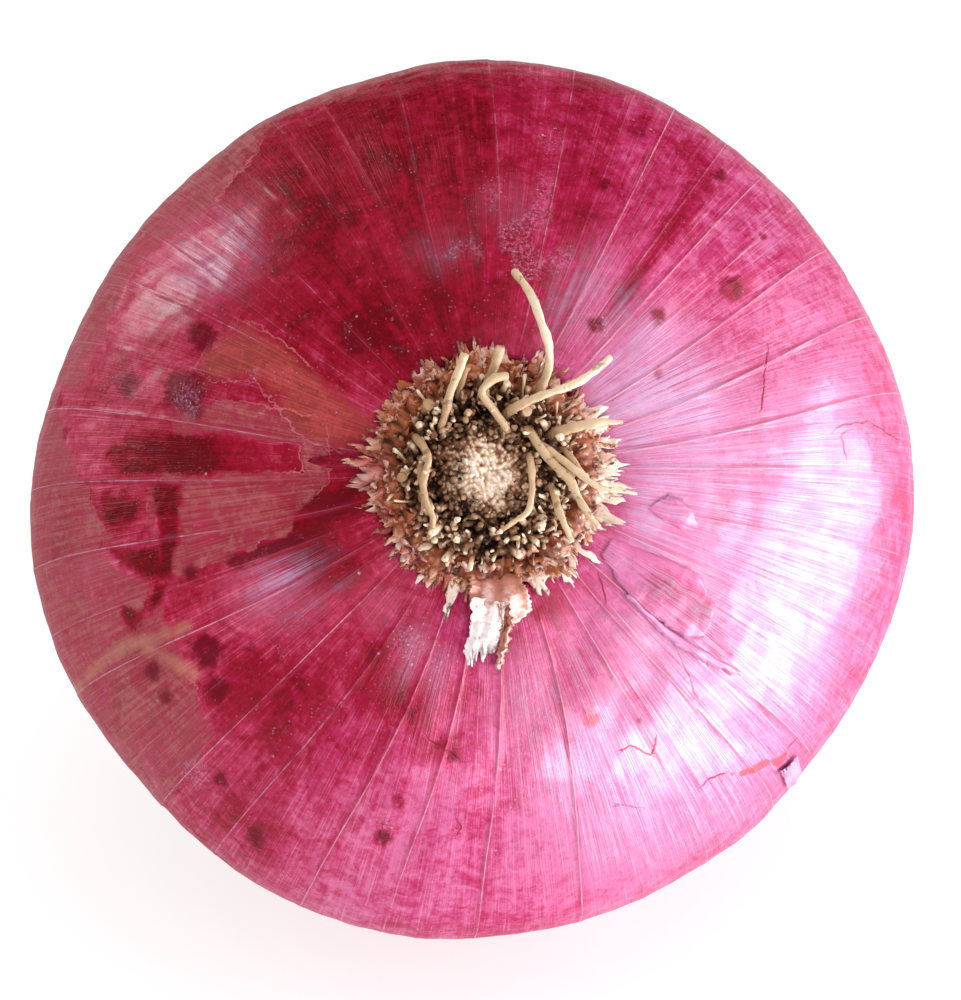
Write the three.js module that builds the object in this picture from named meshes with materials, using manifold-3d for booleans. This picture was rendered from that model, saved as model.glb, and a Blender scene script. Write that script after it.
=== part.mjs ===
// A red onion as bought: a flattened globe with a dry neck at one end and, at the other, the
// basal plate with its dried roots inside a ragged crown of torn scale bases.
// It lies on a table as a loose onion does, on a small flat spot under its shoulder and on the
// tip of its neck, so the root end looks up and forwards, towards -Y.
// Millimetres, +Z up, origin on the table under the middle of the onion.
//
// Each piece is shaped in the onion's own frame: Y runs along its axis and out of the root end,
// X is to the right and Z down for someone who looks straight at the root end.

import * as THREE from "three";
import { mergeVertices } from "three/addons/utils/BufferGeometryUtils.js";
import Module from "manifold-3d";

const wasm = await Module();
wasm.setup();

// Driving dimensions
const BULB_RADIUS = 37.5; // at the widest ring, half of a 75 mm onion
const ROOT_HEIGHT = 29; // from the widest ring to the root end
const SHOULDER_HEIGHT = 30; // from the widest ring to where round shoulders would close
const FULLNESS = 2.25; // exponent of the root end's curve, over 2 for a flattened end
const SHOULDER_TURN = THREE.MathUtils.degToRad(64); // how far round the shoulders stay round
const TILT = THREE.MathUtils.degToRad(38); // the root end's rise above level
const PRESS = 0.45; // how deep the flat spot is pressed in
const GAP = 0.3; // clearance between pieces that touch

const SEAT_RADIUS = 9.5; // shallow seat in the root end
const SEAT_DEPTH = 1.4;
const COLLAR_RADIUS = 5.8; // where the bulb hands over to the neck
const COLLAR = -36; // the collar's height, on the neck's side of the widest ring
const VEIN_HEIGHT = 0.28; // ridge of a vein above the hollow beside it

const NECK_LENGTH = 17;
const NECK_BEND = 2.2; // sideways drift of the neck's tip, towards the table
const PLEATS = 9; // folds round the dry neck

const PLATE_RADIUS = 6.8;
const PLATE_DOME = 1.5; // rise of the plate's middle over its edge
const ROOT_RADIUS = 0.43; // a dried root
const CROWN_INNER = 7.15;
const CROWN_OUTER = 9;
const BLADE = 0.6; // thickness of the dry scale bases

// Where the main veins run, in degrees round the root end, from the right and up.
const VEINS = [
  0, 11, 21, 32, 38, 46, 52.5, 60, 74, 85, 100, 108, 116.5, 123, 130.5, 137.5, 147, 157, 167,
  178, 188.5, 198, 206, 214, 223.5, 236, 249.5, 261.5, 272.5, 287.5, 303, 312, 320, 336.5, 348.5,
];
const COLUMNS_PER_VEIN = 3;

// Each long dried root as points [right, down, height over the skin's rim], from the plate out.
const LONG_ROOTS = {
  arching: [
    [4.4, -6.6, 1.2], [5, -8, 3.4], [5, -9.8, 4.6], [4.4, -11.7, 5], [3.5, -13.7, 4.6],
    [2.6, -15.4, 4], [1.6, -16.9, 3.4],
  ],
  crossing: [
    [1.5, -5, 1.6], [2.9, -5.7, 3], [4.9, -6.4, 4.1], [6.6, -7, 4.5], [7.9, -7.9, 4.7],
    [9.2, -8.9, 4.7], [9.9, -9.5, 4.6],
  ],
  broad: [[5.6, -3, 1.4], [7.4, -3.3, 2.9], [9.2, -3.5, 3.6], [10.8, -3.4, 3.8]],
  trailing: [
    [4, -2.2, 1.4], [5.6, -0.9, 2.4], [6.8, 0.2, 3.1], [8, 1.3, 3.6], [9, 1.8, 3.9],
    [10.3, 2.1, 4], [11.7, 2.4, 3.8],
  ],
  slanting: [
    [3.3, -3.2, 1.5], [4.5, -1.2, 2.2], [5.5, 0, 2.6], [6.4, 1, 2.8], [7.1, 2.6, 3.1],
    [7.8, 3.9, 3.4], [8.6, 5, 3.6],
  ],
  hooked: [
    [3.3, -1, 1.9], [3.4, 0.7, 2.5], [3.3, 2.2, 2.7], [2.9, 3.5, 2.7], [1.8, 4.2, 2.5],
    [0.7, 4.9, 1.9],
  ],
  low: [[5, 1.5, 1.4], [5.4, 3.2, 2.3], [5.9, 4.7, 2.9], [6.4, 6, 3.1]],
  standing: [
    [-6.2, -2.9, 1.3], [-5.7, -2, 2.2], [-5.6, -0.9, 2.6], [-5.6, 1.1, 2.7], [-5.5, 2.4, 2.7],
    [-5.6, 4, 2.4], [-5.7, 5.3, 1.7],
  ],
  upper: [
    [-4.5, -3.8, 1.3], [-4.1, -4.8, 2.2], [-3.9, -6.7, 3], [-3.4, -8.4, 3.7], [-2.8, -9.9, 4],
  ],
  crooked: [
    [1.5, -3.4, 1.8], [0.4, -5, 2.4], [-0.4, -6.3, 2.9], [0.6, -7.3, 3.3], [1.7, -7.5, 3.2],
  ],
};

const materials = {
  skin: new THREE.MeshStandardMaterial({ color: 0xa81f48, roughness: 0.38, metalness: 0 }),
  neck: new THREE.MeshStandardMaterial({ color: 0xb07a52, roughness: 0.75, metalness: 0 }),
  crown: new THREE.MeshStandardMaterial({ color: 0xb87c50, roughness: 0.7, metalness: 0 }),
  plate: new THREE.MeshStandardMaterial({ color: 0xc9ab80, roughness: 0.85, metalness: 0 }),
};

// A seeded random number from low to high, the same on every run.
function randomSource(seed) {
  let state = seed;
  return (low, high) => {
    state = (state + 0x6d2b79f5) | 0;
    let t = Math.imul(state ^ (state >>> 15), 1 | state);
    t = (t + Math.imul(t ^ (t >>> 7), 61 | t)) ^ t;
    return low + (high - low) * (((t ^ (t >>> 14)) >>> 0) / 4294967296);
  };
}

// A closed geometry as a manifold-3d solid, with doubled points merged and flat slivers dropped.
function solidOf(geometry) {
  const bare = new THREE.BufferGeometry();
  bare.setAttribute("position", geometry.getAttribute("position"));
  bare.setIndex(geometry.index);
  const merged = mergeVertices(bare, 1e-4);
  const old = merged.index.array;
  const kept = [];
  for (let i = 0; i < old.length; i += 3) {
    const [a, b, c] = [old[i], old[i + 1], old[i + 2]];
    if (a !== b && b !== c && c !== a) kept.push(a, b, c);
  }
  const made = new wasm.Manifold(
    new wasm.Mesh({
      numProp: 3,
      vertProperties: new Float32Array(merged.attributes.position.array),
      triVerts: new Uint32Array(kept),
    }),
  );
  if (made.volume() < 0) throw new Error("a piece is inside out");
  return made;
}

// A solid as a named mesh.
function meshOf(name, solid, material) {
  const { vertProperties, triVerts } = solid.getMesh();
  const geometry = new THREE.BufferGeometry();
  geometry.setAttribute("position", new THREE.BufferAttribute(vertProperties, 3));
  geometry.setIndex(new THREE.BufferAttribute(triVerts, 1));
  geometry.computeVertexNormals();
  const mesh = new THREE.Mesh(geometry, material);
  mesh.name = name;
  return mesh;
}

// Joins solids in one, and leaves out slivers and any scrap that holds on to nothing.
function fuse(solids) {
  const joined = solids.reduce((whole, next) => whole.add(next)).simplify(0.02);
  return joined.decompose().reduce((most, next) => (next.volume() > most.volume() ? next : most));
}

// Spins a profile of [radius, height] round the axis and moves each point by place(angle, r, y, column).
function spin(profile, columns, place) {
  const points = profile.map(([r, y]) => new THREE.Vector2(r, y));
  const geometry = new THREE.LatheGeometry(points, columns);
  const position = geometry.getAttribute("position");
  for (let i = 0; i < position.count; i++) {
    const column = Math.floor(i / points.length) % columns;
    const { x: r, y } = points[i % points.length];
    const at = place((column / columns) * 2 * Math.PI, r, y, column);
    position.setXYZ(i, at.x, at.y, at.z);
  }
  return geometry;
}

// A point at an angle round the root end, from the right and up, at a radius and a height.
const polar = (angle, r, y) =>
  new THREE.Vector3(r * Math.cos(angle), y, -r * Math.sin(angle));

// Height of the root end's skin at a radius.
const skinHeight = (r) =>
  ROOT_HEIGHT * Math.pow(1 - Math.pow(r / BULB_RADIUS, FULLNESS), 1 / FULLNESS);

const RIM = skinHeight(SEAT_RADIUS);
const SEAT = RIM - SEAT_DEPTH;

// The bulb's outline seen from the root end is a little squared, as a share of its radius.
const squareness = (angle) =>
  0.01 * Math.cos(2 * angle - 1.64) + 0.0085 * Math.cos(4 * angle + 0.26) +
  0.004 * Math.cos(6 * angle - 0.52);

// From the seat's middle over the root end and the shoulders to the neck's collar.
function bulbProfile() {
  const profile = [[0, SEAT], [SEAT_RADIUS - 0.6, SEAT]];
  const rootRows = 9;
  for (let i = 0; i < rootRows; i++) {
    const turn = THREE.MathUtils.lerp(Math.asin(SEAT_RADIUS / BULB_RADIUS), Math.PI / 2, i / rootRows);
    const r = BULB_RADIUS * Math.sin(turn);
    profile.push([r, skinHeight(r)]);
  }
  const shoulderRows = 8;
  for (let i = 0; i <= shoulderRows; i++) {
    const turn = (i / shoulderRows) * SHOULDER_TURN;
    profile.push([BULB_RADIUS * Math.cos(turn), -SHOULDER_HEIGHT * Math.sin(turn)]);
  }
  const [r, y] = profile.at(-1);
  const waist = new THREE.CubicBezierCurve(
    new THREE.Vector2(r, y),
    new THREE.Vector2(r - 7.5, y - 7.5 * (SHOULDER_HEIGHT / BULB_RADIUS / Math.tan(SHOULDER_TURN))),
    new THREE.Vector2(COLLAR_RADIUS + 0.5, COLLAR + 4),
    new THREE.Vector2(COLLAR_RADIUS, COLLAR),
  );
  for (const point of waist.getPoints(4).slice(1)) profile.push([point.x, point.y]);
  profile.push([0, COLLAR]);
  return profile.reverse();
}

function makeBulb() {
  const columns = VEINS.length * COLUMNS_PER_VEIN;
  const angles = [];
  for (let v = 0; v < VEINS.length; v++) {
    const next = v + 1 < VEINS.length ? VEINS[v + 1] : 360;
    for (let k = 0; k < COLUMNS_PER_VEIN; k++)
      angles.push(THREE.MathUtils.degToRad(VEINS[v] + ((next - VEINS[v]) * k) / COLUMNS_PER_VEIN));
  }
  const place = (_, r, y, column) => {
    const angle = angles[column];
    const spread = THREE.MathUtils.smoothstep(r, SEAT_RADIUS, BULB_RADIUS);
    const ridge = column % COLUMNS_PER_VEIN === 0 ? VEIN_HEIGHT : 0;
    const lifted = r > SEAT_RADIUS ? r + ridge * spread : r;
    return polar(angle, lifted * (1 + squareness(angle) * spread), y);
  };
  return solidOf(spin(bulbProfile(), columns, place));
}

// The dry neck: a pleated stalk that narrows, bends to the table and ends in a torn edge.
function makeNeck() {
  const rows = 9;
  const start = COLLAR - GAP;
  const profile = [[0, start]];
  for (let i = 0; i <= rows; i++) {
    const share = i / rows;
    const waist = 1 - 0.42 * THREE.MathUtils.smoothstep(share, 0, 0.55) + 0.22 * share * share;
    profile.push([COLLAR_RADIUS * waist, start - NECK_LENGTH * share]);
  }
  profile.push([0, start - NECK_LENGTH + 2.5]);
  const place = (angle, r, y) => {
    const share = (start - y) / NECK_LENGTH;
    const fold = Math.cos(PLEATS * angle + 1.4 * share) + 0.5 * Math.cos(4 * angle + 2);
    const torn = share > 0.95 && r > 1 ? 1.3 * Math.cos(5 * angle) * Math.cos(3 * angle + 1) : 0;
    const pleated = r * (1 + 0.09 * fold * Math.min(1, 0.3 + share));
    const at = polar(angle, pleated, y + torn);
    at.x *= 1 + 0.25 * share;
    at.z = at.z * (1 - 0.25 * share) + NECK_BEND * share * share;
    return at;
  };
  return solidOf(spin(profile.reverse(), PLEATS * 4, place));
}

// A thin blade: place(across from -1 to 1, along from 0 to 1, depth from -half to half its thickness).
function blade(across, along, place) {
  const geometry = new THREE.BoxGeometry(2, BLADE, 1, across, 1, along);
  const position = geometry.getAttribute("position");
  for (let i = 0; i < position.count; i++) {
    const at = place(position.getX(i), position.getZ(i) + 0.5, position.getY(i));
    position.setXYZ(i, at.x, at.y, at.z);
  }
  return solidOf(geometry);
}

// One torn scale base, which leans out from the crown's ring at an angle.
function scaleTooth(angle, foot, lean, width, length, ragged) {
  return blade(2, 1, (u, s, depth) => {
    const reach = length * (s + (s > 0.9 ? ragged[Math.round(u) + 1] : 0));
    const turn = lean * (0.65 + 0.35 * s);
    const side = u * (width / 2) * (1 - 0.72 * s);
    const out = reach * Math.sin(turn) + depth * Math.cos(turn) - 0.25 * u * u;
    const up = reach * Math.cos(turn) - depth * Math.sin(turn);
    const at = polar(angle, foot + out, RIM + 0.1 + up);
    return at.add(polar(angle - Math.PI / 2, side, 0));
  });
}

// The torn flap of dry scale that hangs from the crown over the skin.
function makeFlap() {
  const angle = THREE.MathUtils.degToRad(270);
  const inner = CROWN_OUTER - 1.4;
  const outer = 15.8;
  return blade(4, 6, (u, s, depth) => {
    const r = inner + (outer - inner) * (s + (s > 0.9 ? 0.08 * Math.cos(7 * u) : 0));
    const notch = 1 + 0.16 * Math.cos(19 * s) * Math.abs(u);
    const side = 0.5 * s - 0.3 + u * (2.6 - 1.1 * s) * notch;
    const lift = 1.7 - 0.75 * s + 0.28 * Math.cos(3.2 * u + 5 * s);
    const floor = s < 0.3 ? RIM : skinHeight(Math.hypot(r, side));
    return polar(angle, r, floor + lift + depth).add(polar(angle + Math.PI / 2, side, 0));
  });
}

// The ragged crown: a ring in the seat, three rows of torn scale bases and the flap.
function makeCrown() {
  const random = randomSource(18);
  const low = SEAT + GAP;
  const ring = spin(
    [[CROWN_INNER, low], [CROWN_OUTER - 0.5, low], [CROWN_OUTER - 0.2, RIM + 0.7], [CROWN_INNER, RIM + 0.9],
      [CROWN_INNER, low]],
    48,
    polar,
  );
  const rows = [
    { count: 25, foot: 8.3, lean: 1.15, length: 2.7 },
    { count: 22, foot: 8, lean: 0.75, length: 2.4 },
    { count: 17, foot: 7.7, lean: 0.3, length: 1.8 },
  ];
  const pieces = [solidOf(ring)];
  for (const { count, foot, lean, length } of rows)
    for (let i = 0; i < count; i++) {
      const angle = ((i + random(-0.25, 0.25)) / count) * 2 * Math.PI;
      const width = random(1.15, 1.7) * ((2 * Math.PI * foot) / count);
      const ragged = [random(-0.3, 0.15), random(-0.1, 0.35), random(-0.3, 0.15)];
      const tooth = { lean: lean * random(0.85, 1.12), length: length * random(0.7, 1.3) };
      pieces.push(scaleTooth(angle, foot, tooth.lean, width, tooth.length, ragged));
    }
  pieces.push(makeFlap());
  return fuse(pieces);
}

// A root along hand-placed points, as a five-sided tube of a radius.
function rootTube(points, radius) {
  const path = new THREE.CatmullRomCurve3(
    points.map(([right, down, height]) => new THREE.Vector3(right, RIM + height, down)),
  );
  const section = new THREE.Shape(
    Array.from({ length: 5 }, (_, i) => {
      const turn = (i / 5) * 2 * Math.PI;
      return new THREE.Vector2(radius * Math.cos(turn), radius * Math.sin(turn));
    }),
  );
  const steps = Math.ceil(1.4 * (points.length - 1));
  return solidOf(new THREE.ExtrudeGeometry(section, { steps, extrudePath: path, bevelEnabled: false }));
}

// A short broken root, from its foot in the plate to its end.
function rootStub(foot, end, radius) {
  const run = new THREE.Vector3().subVectors(end, foot);
  const stub = new THREE.CylinderGeometry(radius * 0.8, radius, run.length(), 4, 1);
  stub.applyQuaternion(
    new THREE.Quaternion().setFromUnitVectors(new THREE.Vector3(0, 1, 0), run.clone().normalize()),
  );
  const middle = new THREE.Vector3().addVectors(foot, end).multiplyScalar(0.5);
  return solidOf(stub.translate(middle.x, middle.y, middle.z));
}

// The basal plate: a knobbly dome, broken root stubs round it and the long dried roots.
function makePlate() {
  const random = randomSource(5);
  const low = SEAT + GAP;
  const domeHeight = (r) => RIM + 0.4 + PLATE_DOME * (1 - (r / PLATE_RADIUS) ** 2);
  const rings = [0.14, 0.3, 0.46, 0.62, 0.78, 0.92].map((share) => share * PLATE_RADIUS);
  const profile = [[0, low], [PLATE_RADIUS, low], [PLATE_RADIUS, domeHeight(PLATE_RADIUS)]];
  for (const r of rings.reverse()) profile.push([r, domeHeight(r)]);
  profile.push([0, domeHeight(0)]);
  const columns = 26;
  const knobs = profile.map(() => Array.from({ length: columns }, () => random(-0.35, 0.35)));
  const dome = spin(profile, columns, (angle, r, y, column) => {
    const row = profile.findIndex(([pr, py]) => pr === r && py === y);
    const knob = r > 1 && r < PLATE_RADIUS ? knobs[row][column] : 0;
    return polar(angle, r, y + knob);
  });
  const pieces = [solidOf(dome)];
  for (let i = 0; i < 64; i++) {
    const angle = random(0, 2 * Math.PI);
    const r = random(3.1, PLATE_RADIUS - 0.8);
    const lean = random(0.1, 0.7);
    const length = random(1, 2.2);
    const foot = polar(angle, r, domeHeight(r) - 0.9);
    const out = Math.min(r + length * Math.sin(lean), PLATE_RADIUS - 0.2);
    const end = polar(angle + random(-0.2, 0.2), out, foot.y + 0.5 + length * Math.cos(lean));
    pieces.push(rootStub(foot, end, random(0.32, 0.5)));
  }
  for (const points of Object.values(LONG_ROOTS)) {
    const [right, down, height] = points[0];
    const sunk = [[right * 0.9, down * 0.9, height - 1.6], ...points];
    pieces.push(rootTube(sunk, ROOT_RADIUS));
  }
  return fuse(pieces);
}

// The table as the onion's own frame sees it.
const up = [0, Math.sin(TILT), -Math.cos(TILT)];
const depthUnder = (solid) => {
  const { vertProperties: v } = solid.getMesh();
  let most = -Infinity;
  for (let i = 0; i < v.length; i += 3)
    most = Math.max(most, -(v[i] * up[0] + v[i + 1] * up[1] + v[i + 2] * up[2]));
  return most;
};

const wholeBulb = makeBulb();
const table = depthUnder(wholeBulb) - PRESS;
const bulb = wholeBulb.trimByPlane(up, -table);
const neck = makeNeck().trimByPlane(up, -table);
const plate = makePlate();
const clearance = fuse([
  ...Object.values(LONG_ROOTS).map((points) => rootTube(points, ROOT_RADIUS + GAP)),
  plate,
]);
const crown = fuse([makeCrown().subtract(clearance)]);

const onion = new THREE.Group();
onion.add(
  meshOf("bulb", bulb, materials.skin),
  meshOf("neck", neck, materials.neck),
  meshOf("scale_crown", crown, materials.crown),
  meshOf("root_plate", plate, materials.plate),
);
onion.rotation.x = Math.PI - TILT;
onion.position.z = table;

const box = new THREE.Box3().setFromObject(onion, true);
onion.position.x -= (box.min.x + box.max.x) / 2;
onion.position.y -= (box.min.y + box.max.y) / 2;

const part = new THREE.Group();
part.add(onion);
export default part;
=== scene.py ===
"""A red onion lying on a pale table, seen from its root end.

The onion is shaped in its own frame, in millimetres: Y runs along its axis and out of the root
end, X is to the right and Z down for someone who looks straight at the root end. An angle is
counted in degrees from the right and up. A share is a distance from the axis as a part of the
bulb's radius, and past the widest ring it goes on growing towards the neck.
"""

import logging
import math
import random
from dataclasses import dataclass
from enum import Enum
from typing import Iterable, Optional, Sequence

import bmesh
import bpy
import numpy as np
from mathutils import Matrix, Vector, noise


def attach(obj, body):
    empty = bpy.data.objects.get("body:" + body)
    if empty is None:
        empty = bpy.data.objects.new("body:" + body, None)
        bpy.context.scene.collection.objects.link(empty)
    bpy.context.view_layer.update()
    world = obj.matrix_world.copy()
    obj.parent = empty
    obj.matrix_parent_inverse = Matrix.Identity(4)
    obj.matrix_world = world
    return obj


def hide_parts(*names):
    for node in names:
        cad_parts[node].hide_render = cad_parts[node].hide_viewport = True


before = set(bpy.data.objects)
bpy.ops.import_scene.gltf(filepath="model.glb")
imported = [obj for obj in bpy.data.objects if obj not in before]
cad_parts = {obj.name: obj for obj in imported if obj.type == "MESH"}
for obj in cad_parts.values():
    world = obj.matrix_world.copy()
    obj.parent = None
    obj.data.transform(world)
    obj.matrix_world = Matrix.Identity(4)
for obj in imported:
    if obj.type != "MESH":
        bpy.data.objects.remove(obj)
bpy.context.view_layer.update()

LOG = logging.getLogger("red_onion")
Colour = tuple[float, float, float]
Socket = bpy.types.NodeSocket

RADIUS = 37.5
ROOT_HEIGHT = 29.0
SHOULDER_HEIGHT = 30.0
FULLNESS = 2.25
SHOULDER_TURN = math.radians(64)
SEAT_RADIUS = 9.5
SEAT_DEPTH = 1.4
COLLAR_RADIUS = 5.8
COLLAR = -36.0
GAP = 0.3
# The waves of the bulb's outline: how many go round it, their size as a share of the radius and their turn.
SQUARENESS = ((2, 0.01, -1.64), (4, 0.0085, 0.26), (6, 0.004, -0.52))
TILT = math.radians(38)
CENTRE = Vector((-0.00003, -0.00487, 0.03465))
TO_WORLD = Matrix.Translation(CENTRE) @ Matrix.Rotation(math.pi - TILT, 4, "X") @ Matrix.Scale(0.001, 4)


class Slot(Enum):
    """The record's material slots."""

    SKIN = "skin"
    DRY_NECK = "dry_neck"
    DRY_SCALE = "dry_scale"
    ROOT_TISSUE = "root_tissue"


def smooth(value: np.ndarray, low: float, high: float) -> np.ndarray:
    """A soft step.

    Args:
        value: what is tested.
        low: where the step starts.
        high: where it ends.

    Returns:
        0 at low and 1 at high, with soft ends.
    """
    part = np.clip((np.asarray(value, float) - low) / (high - low), 0.0, 1.0)
    return part * part * (3.0 - 2.0 * part)


def swell(points: np.ndarray, wavelength: float, seed: int) -> np.ndarray:
    """Smooth unevenness made of waves that run all ways.

    Args:
        points: places, one row each.
        wavelength: the usual distance between two crests.
        seed: which unevenness.

    Returns:
        A height of about -1 to 1 for each place.
    """
    chance = np.random.default_rng(seed)
    total = np.zeros(len(points))
    for _ in range(18):
        way = chance.normal(size=3)
        way *= 2.0 * math.pi / (wavelength * chance.uniform(0.7, 1.5) * np.linalg.norm(way))
        total += np.cos(points @ way + chance.uniform(0.0, 2.0 * math.pi))
    return total / 5.0


def skin_height(ring: np.ndarray) -> np.ndarray:
    """Height of the root end's skin at a distance from the axis."""
    share = np.clip(np.asarray(ring, float) / RADIUS, 0.0, 1.0)
    return ROOT_HEIGHT * (1.0 - share**FULLNESS) ** (1.0 / FULLNESS)


RIM = float(skin_height(SEAT_RADIUS))
SEAT = RIM - SEAT_DEPTH


def squareness(angle: np.ndarray) -> np.ndarray:
    """How far the bulb's outline leaves a circle at an angle in radians, as a share of its radius."""
    return sum(size * np.cos(waves * angle + turn) for waves, size, turn in SQUARENESS)


def around(turn: np.ndarray, ring: np.ndarray, height: np.ndarray) -> np.ndarray:
    """Places from angles in radians, distances from the axis and heights, one row each."""
    return np.column_stack([ring * np.cos(turn), height, -ring * np.sin(turn)])


def jitter(points: np.ndarray, wavelength: float, seed: int) -> np.ndarray:
    """Uneven moves of points to all sides, of about 1 at most."""
    return np.column_stack([swell(points, wavelength, seed + i) for i in range(3)])


def polar(angle: float, ring: float, height: float) -> Vector:
    """A point of the onion's own frame, from an angle in radians, a distance from the axis and a height."""
    return Vector((ring * math.cos(angle), height, -ring * math.sin(angle)))


def catmull(points: Sequence[Sequence[float]], steps: int) -> np.ndarray:
    """A smooth run through points.

    Args:
        points: what the run passes through.
        steps: how many steps it takes from one point to the next.

    Returns:
        The run's places, one row each.
    """
    held = np.array([points[0], *points, points[-1]], float)
    run = []
    for a, b, c, d in zip(held, held[1:], held[2:], held[3:]):
        for t in np.arange(steps) / steps:
            run.append(0.5 * (
                2 * b + (c - a) * t + (2 * a - 5 * b + 4 * c - d) * t**2 + (3 * b - a - 3 * c + d) * t**3
            ))
    run.append(held[-1])
    return np.array(run)


class Graph:
    """A material's nodes, with short ways to add one and join it to the others."""

    def __init__(self, name: str) -> None:
        """Starts a material of that name.

        Args:
            name: the material's name.
        """
        self.material = bpy.data.materials.new(name)
        self.material.use_nodes = True
        self.nodes = self.material.node_tree.nodes
        self.links = self.material.node_tree.links
        self.shader = self.nodes["Principled BSDF"]

    def put(self, socket: Socket, value: object) -> None:
        """Joins a socket to another one, or gives it a plain value.

        Args:
            socket: the input.
            value: a socket, a number, a colour, or None to leave it.
        """
        if isinstance(value, bpy.types.NodeSocket):
            self.links.new(value, socket)
        elif value is not None:
            socket.default_value = (*value, 1.0) if socket.type == "RGBA" and len(value) == 3 else value

    def place(self) -> Socket:
        """The piece's own coordinates, in metres."""
        return self.nodes.new("ShaderNodeTexCoord").outputs["Object"]

    def value(self, name: str) -> Socket:
        """A number stored on the mesh."""
        node = self.nodes.new("ShaderNodeAttribute")
        node.attribute_name = name
        return node.outputs["Fac"]

    def vector(self, name: str) -> Socket:
        """A vector stored on the mesh."""
        node = self.nodes.new("ShaderNodeAttribute")
        node.attribute_name = name
        return node.outputs["Vector"]

    def stretch(self, vector: Socket, by: Sequence[float]) -> Socket:
        """Stretches a vector.

        Args:
            vector: the vector.
            by: what each of its three numbers is multiplied by.

        Returns:
            The stretched vector.
        """
        node = self.nodes.new("ShaderNodeVectorMath")
        node.operation = "MULTIPLY"
        self.put(node.inputs[0], vector)
        node.inputs[1].default_value = by
        return node.outputs[0]

    def noise(
        self, vector: Socket, scale: float, detail: float = 2.0, rough: float = 0.5, twist: float = 0.0
    ) -> Socket:
        """Adds cloudy noise.

        Args:
            vector: what it is laid on.
            scale: how fine it is.
            detail: how many finer layers it has.
            rough: how strong those layers are.
            twist: how far it is bent out of its grid.

        Returns:
            0 to 1.
        """
        node = self.nodes.new("ShaderNodeTexNoise")
        self.put(node.inputs["Vector"], vector)
        numbers = {"Scale": scale, "Detail": detail, "Roughness": rough, "Distortion": twist}
        for name, number in numbers.items():
            node.inputs[name].default_value = number
        return node.outputs["Fac"]

    def cells(self, vector: Socket, scale: float) -> tuple[Socket, Socket]:
        """Scatters points.

        Args:
            vector: what they are scattered on.
            scale: how close they stand.

        Returns:
            The distance from the nearest one, and a random colour for each.
        """
        node = self.nodes.new("ShaderNodeTexVoronoi")
        self.put(node.inputs["Vector"], vector)
        node.inputs["Scale"].default_value = scale
        return node.outputs["Distance"], node.outputs["Color"]

    def math(self, operation: str, a: object, b: object = None, c: object = None) -> Socket:
        """Adds one sum.

        Args:
            operation: which sum.
            a: its first value.
            b: its second one, if any.
            c: its third one, if any.

        Returns:
            What it comes to.
        """
        node = self.nodes.new("ShaderNodeMath")
        node.operation = operation
        for socket, value in zip(node.inputs, (a, b, c)):
            self.put(socket, value)
        return node.outputs[0]

    def times(self, a: object, b: object) -> Socket:
        """A product of two values."""
        return self.math("MULTIPLY", a, b)

    def total(self, *terms: tuple[object, float]) -> Socket:
        """Adds up values.

        Args:
            terms: pairs of a value and its weight.

        Returns:
            The sum of each value times its weight.
        """
        whole: object = 0.0
        for value, weight in terms:
            whole = self.math("MULTIPLY_ADD", value, weight, whole)
        return whole

    def step(self, value: object, low: float, high: float, top: float = 1.0) -> Socket:
        """Adds a soft step.

        Args:
            value: what is tested.
            low: where the step starts, at 0.
            high: where it ends.
            top: its height.

        Returns:
            0 to top.
        """
        node = self.nodes.new("ShaderNodeMapRange")
        node.interpolation_type = "SMOOTHSTEP"
        self.put(node.inputs["Value"], value)
        for name, number in zip(("From Min", "From Max", "To Min", "To Max"), (low, high, 0.0, top)):
            node.inputs[name].default_value = number
        return node.outputs[0]

    def mix(self, share: object, under: object, over: object, blend: str = "MIX") -> Socket:
        """Lays one colour over another.

        Args:
            share: how much of it covers.
            under: the lower colour.
            over: the upper one.
            blend: how they are joined.

        Returns:
            The joined colour.
        """
        node = self.nodes.new("ShaderNodeMix")
        node.data_type = "RGBA"
        node.blend_type = blend
        for socket, value in zip((node.inputs[0], node.inputs[6], node.inputs[7]), (share, under, over)):
            self.put(socket, value)
        return node.outputs[2]

    def ramp(self, value: Socket, stops: Iterable[tuple[float, Colour]]) -> Socket:
        """Turns a value into a run of colours.

        Args:
            value: 0 to 1.
            stops: pairs of a value and the colour there.

        Returns:
            The colour.
        """
        node = self.nodes.new("ShaderNodeValToRGB")
        self.put(node.inputs[0], value)
        stops = list(stops)
        marks = node.color_ramp.elements
        while len(marks) < len(stops):
            marks.new(0.5)
        for mark, (at, colour) in zip(marks, stops):
            mark.position = at
            mark.color = (*colour, 1.0)
        return node.outputs[0]

    def bump(self, height: Socket, depth_mm: float, below: Optional[Socket] = None) -> Socket:
        """Adds fine relief.

        Args:
            height: how high the surface stands, about 0 to 1.
            depth_mm: how many millimetres a height of 1 is.
            below: other relief that it lies over.

        Returns:
            The surface's direction.
        """
        node = self.nodes.new("ShaderNodeBump")
        node.inputs["Distance"].default_value = depth_mm / 1000.0
        self.put(node.inputs["Height"], height)
        self.put(node.inputs["Normal"], below)
        return node.outputs[0]

    def finish(
        self, colour: object, rough: object, normal: Optional[Socket], **plain: object
    ) -> bpy.types.Material:
        """Sets the shader.

        Args:
            colour: the base colour.
            rough: the roughness.
            normal: the relief.
            plain: values of other shader sockets, named with _ for each space.

        Returns:
            The material.
        """
        self.put(self.shader.inputs["Base Color"], colour)
        self.put(self.shader.inputs["Roughness"], rough)
        self.put(self.shader.inputs["Normal"], normal)
        for name, value in plain.items():
            self.put(self.shader.inputs[name.replace("_", " ")], value)
        return self.material


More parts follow.
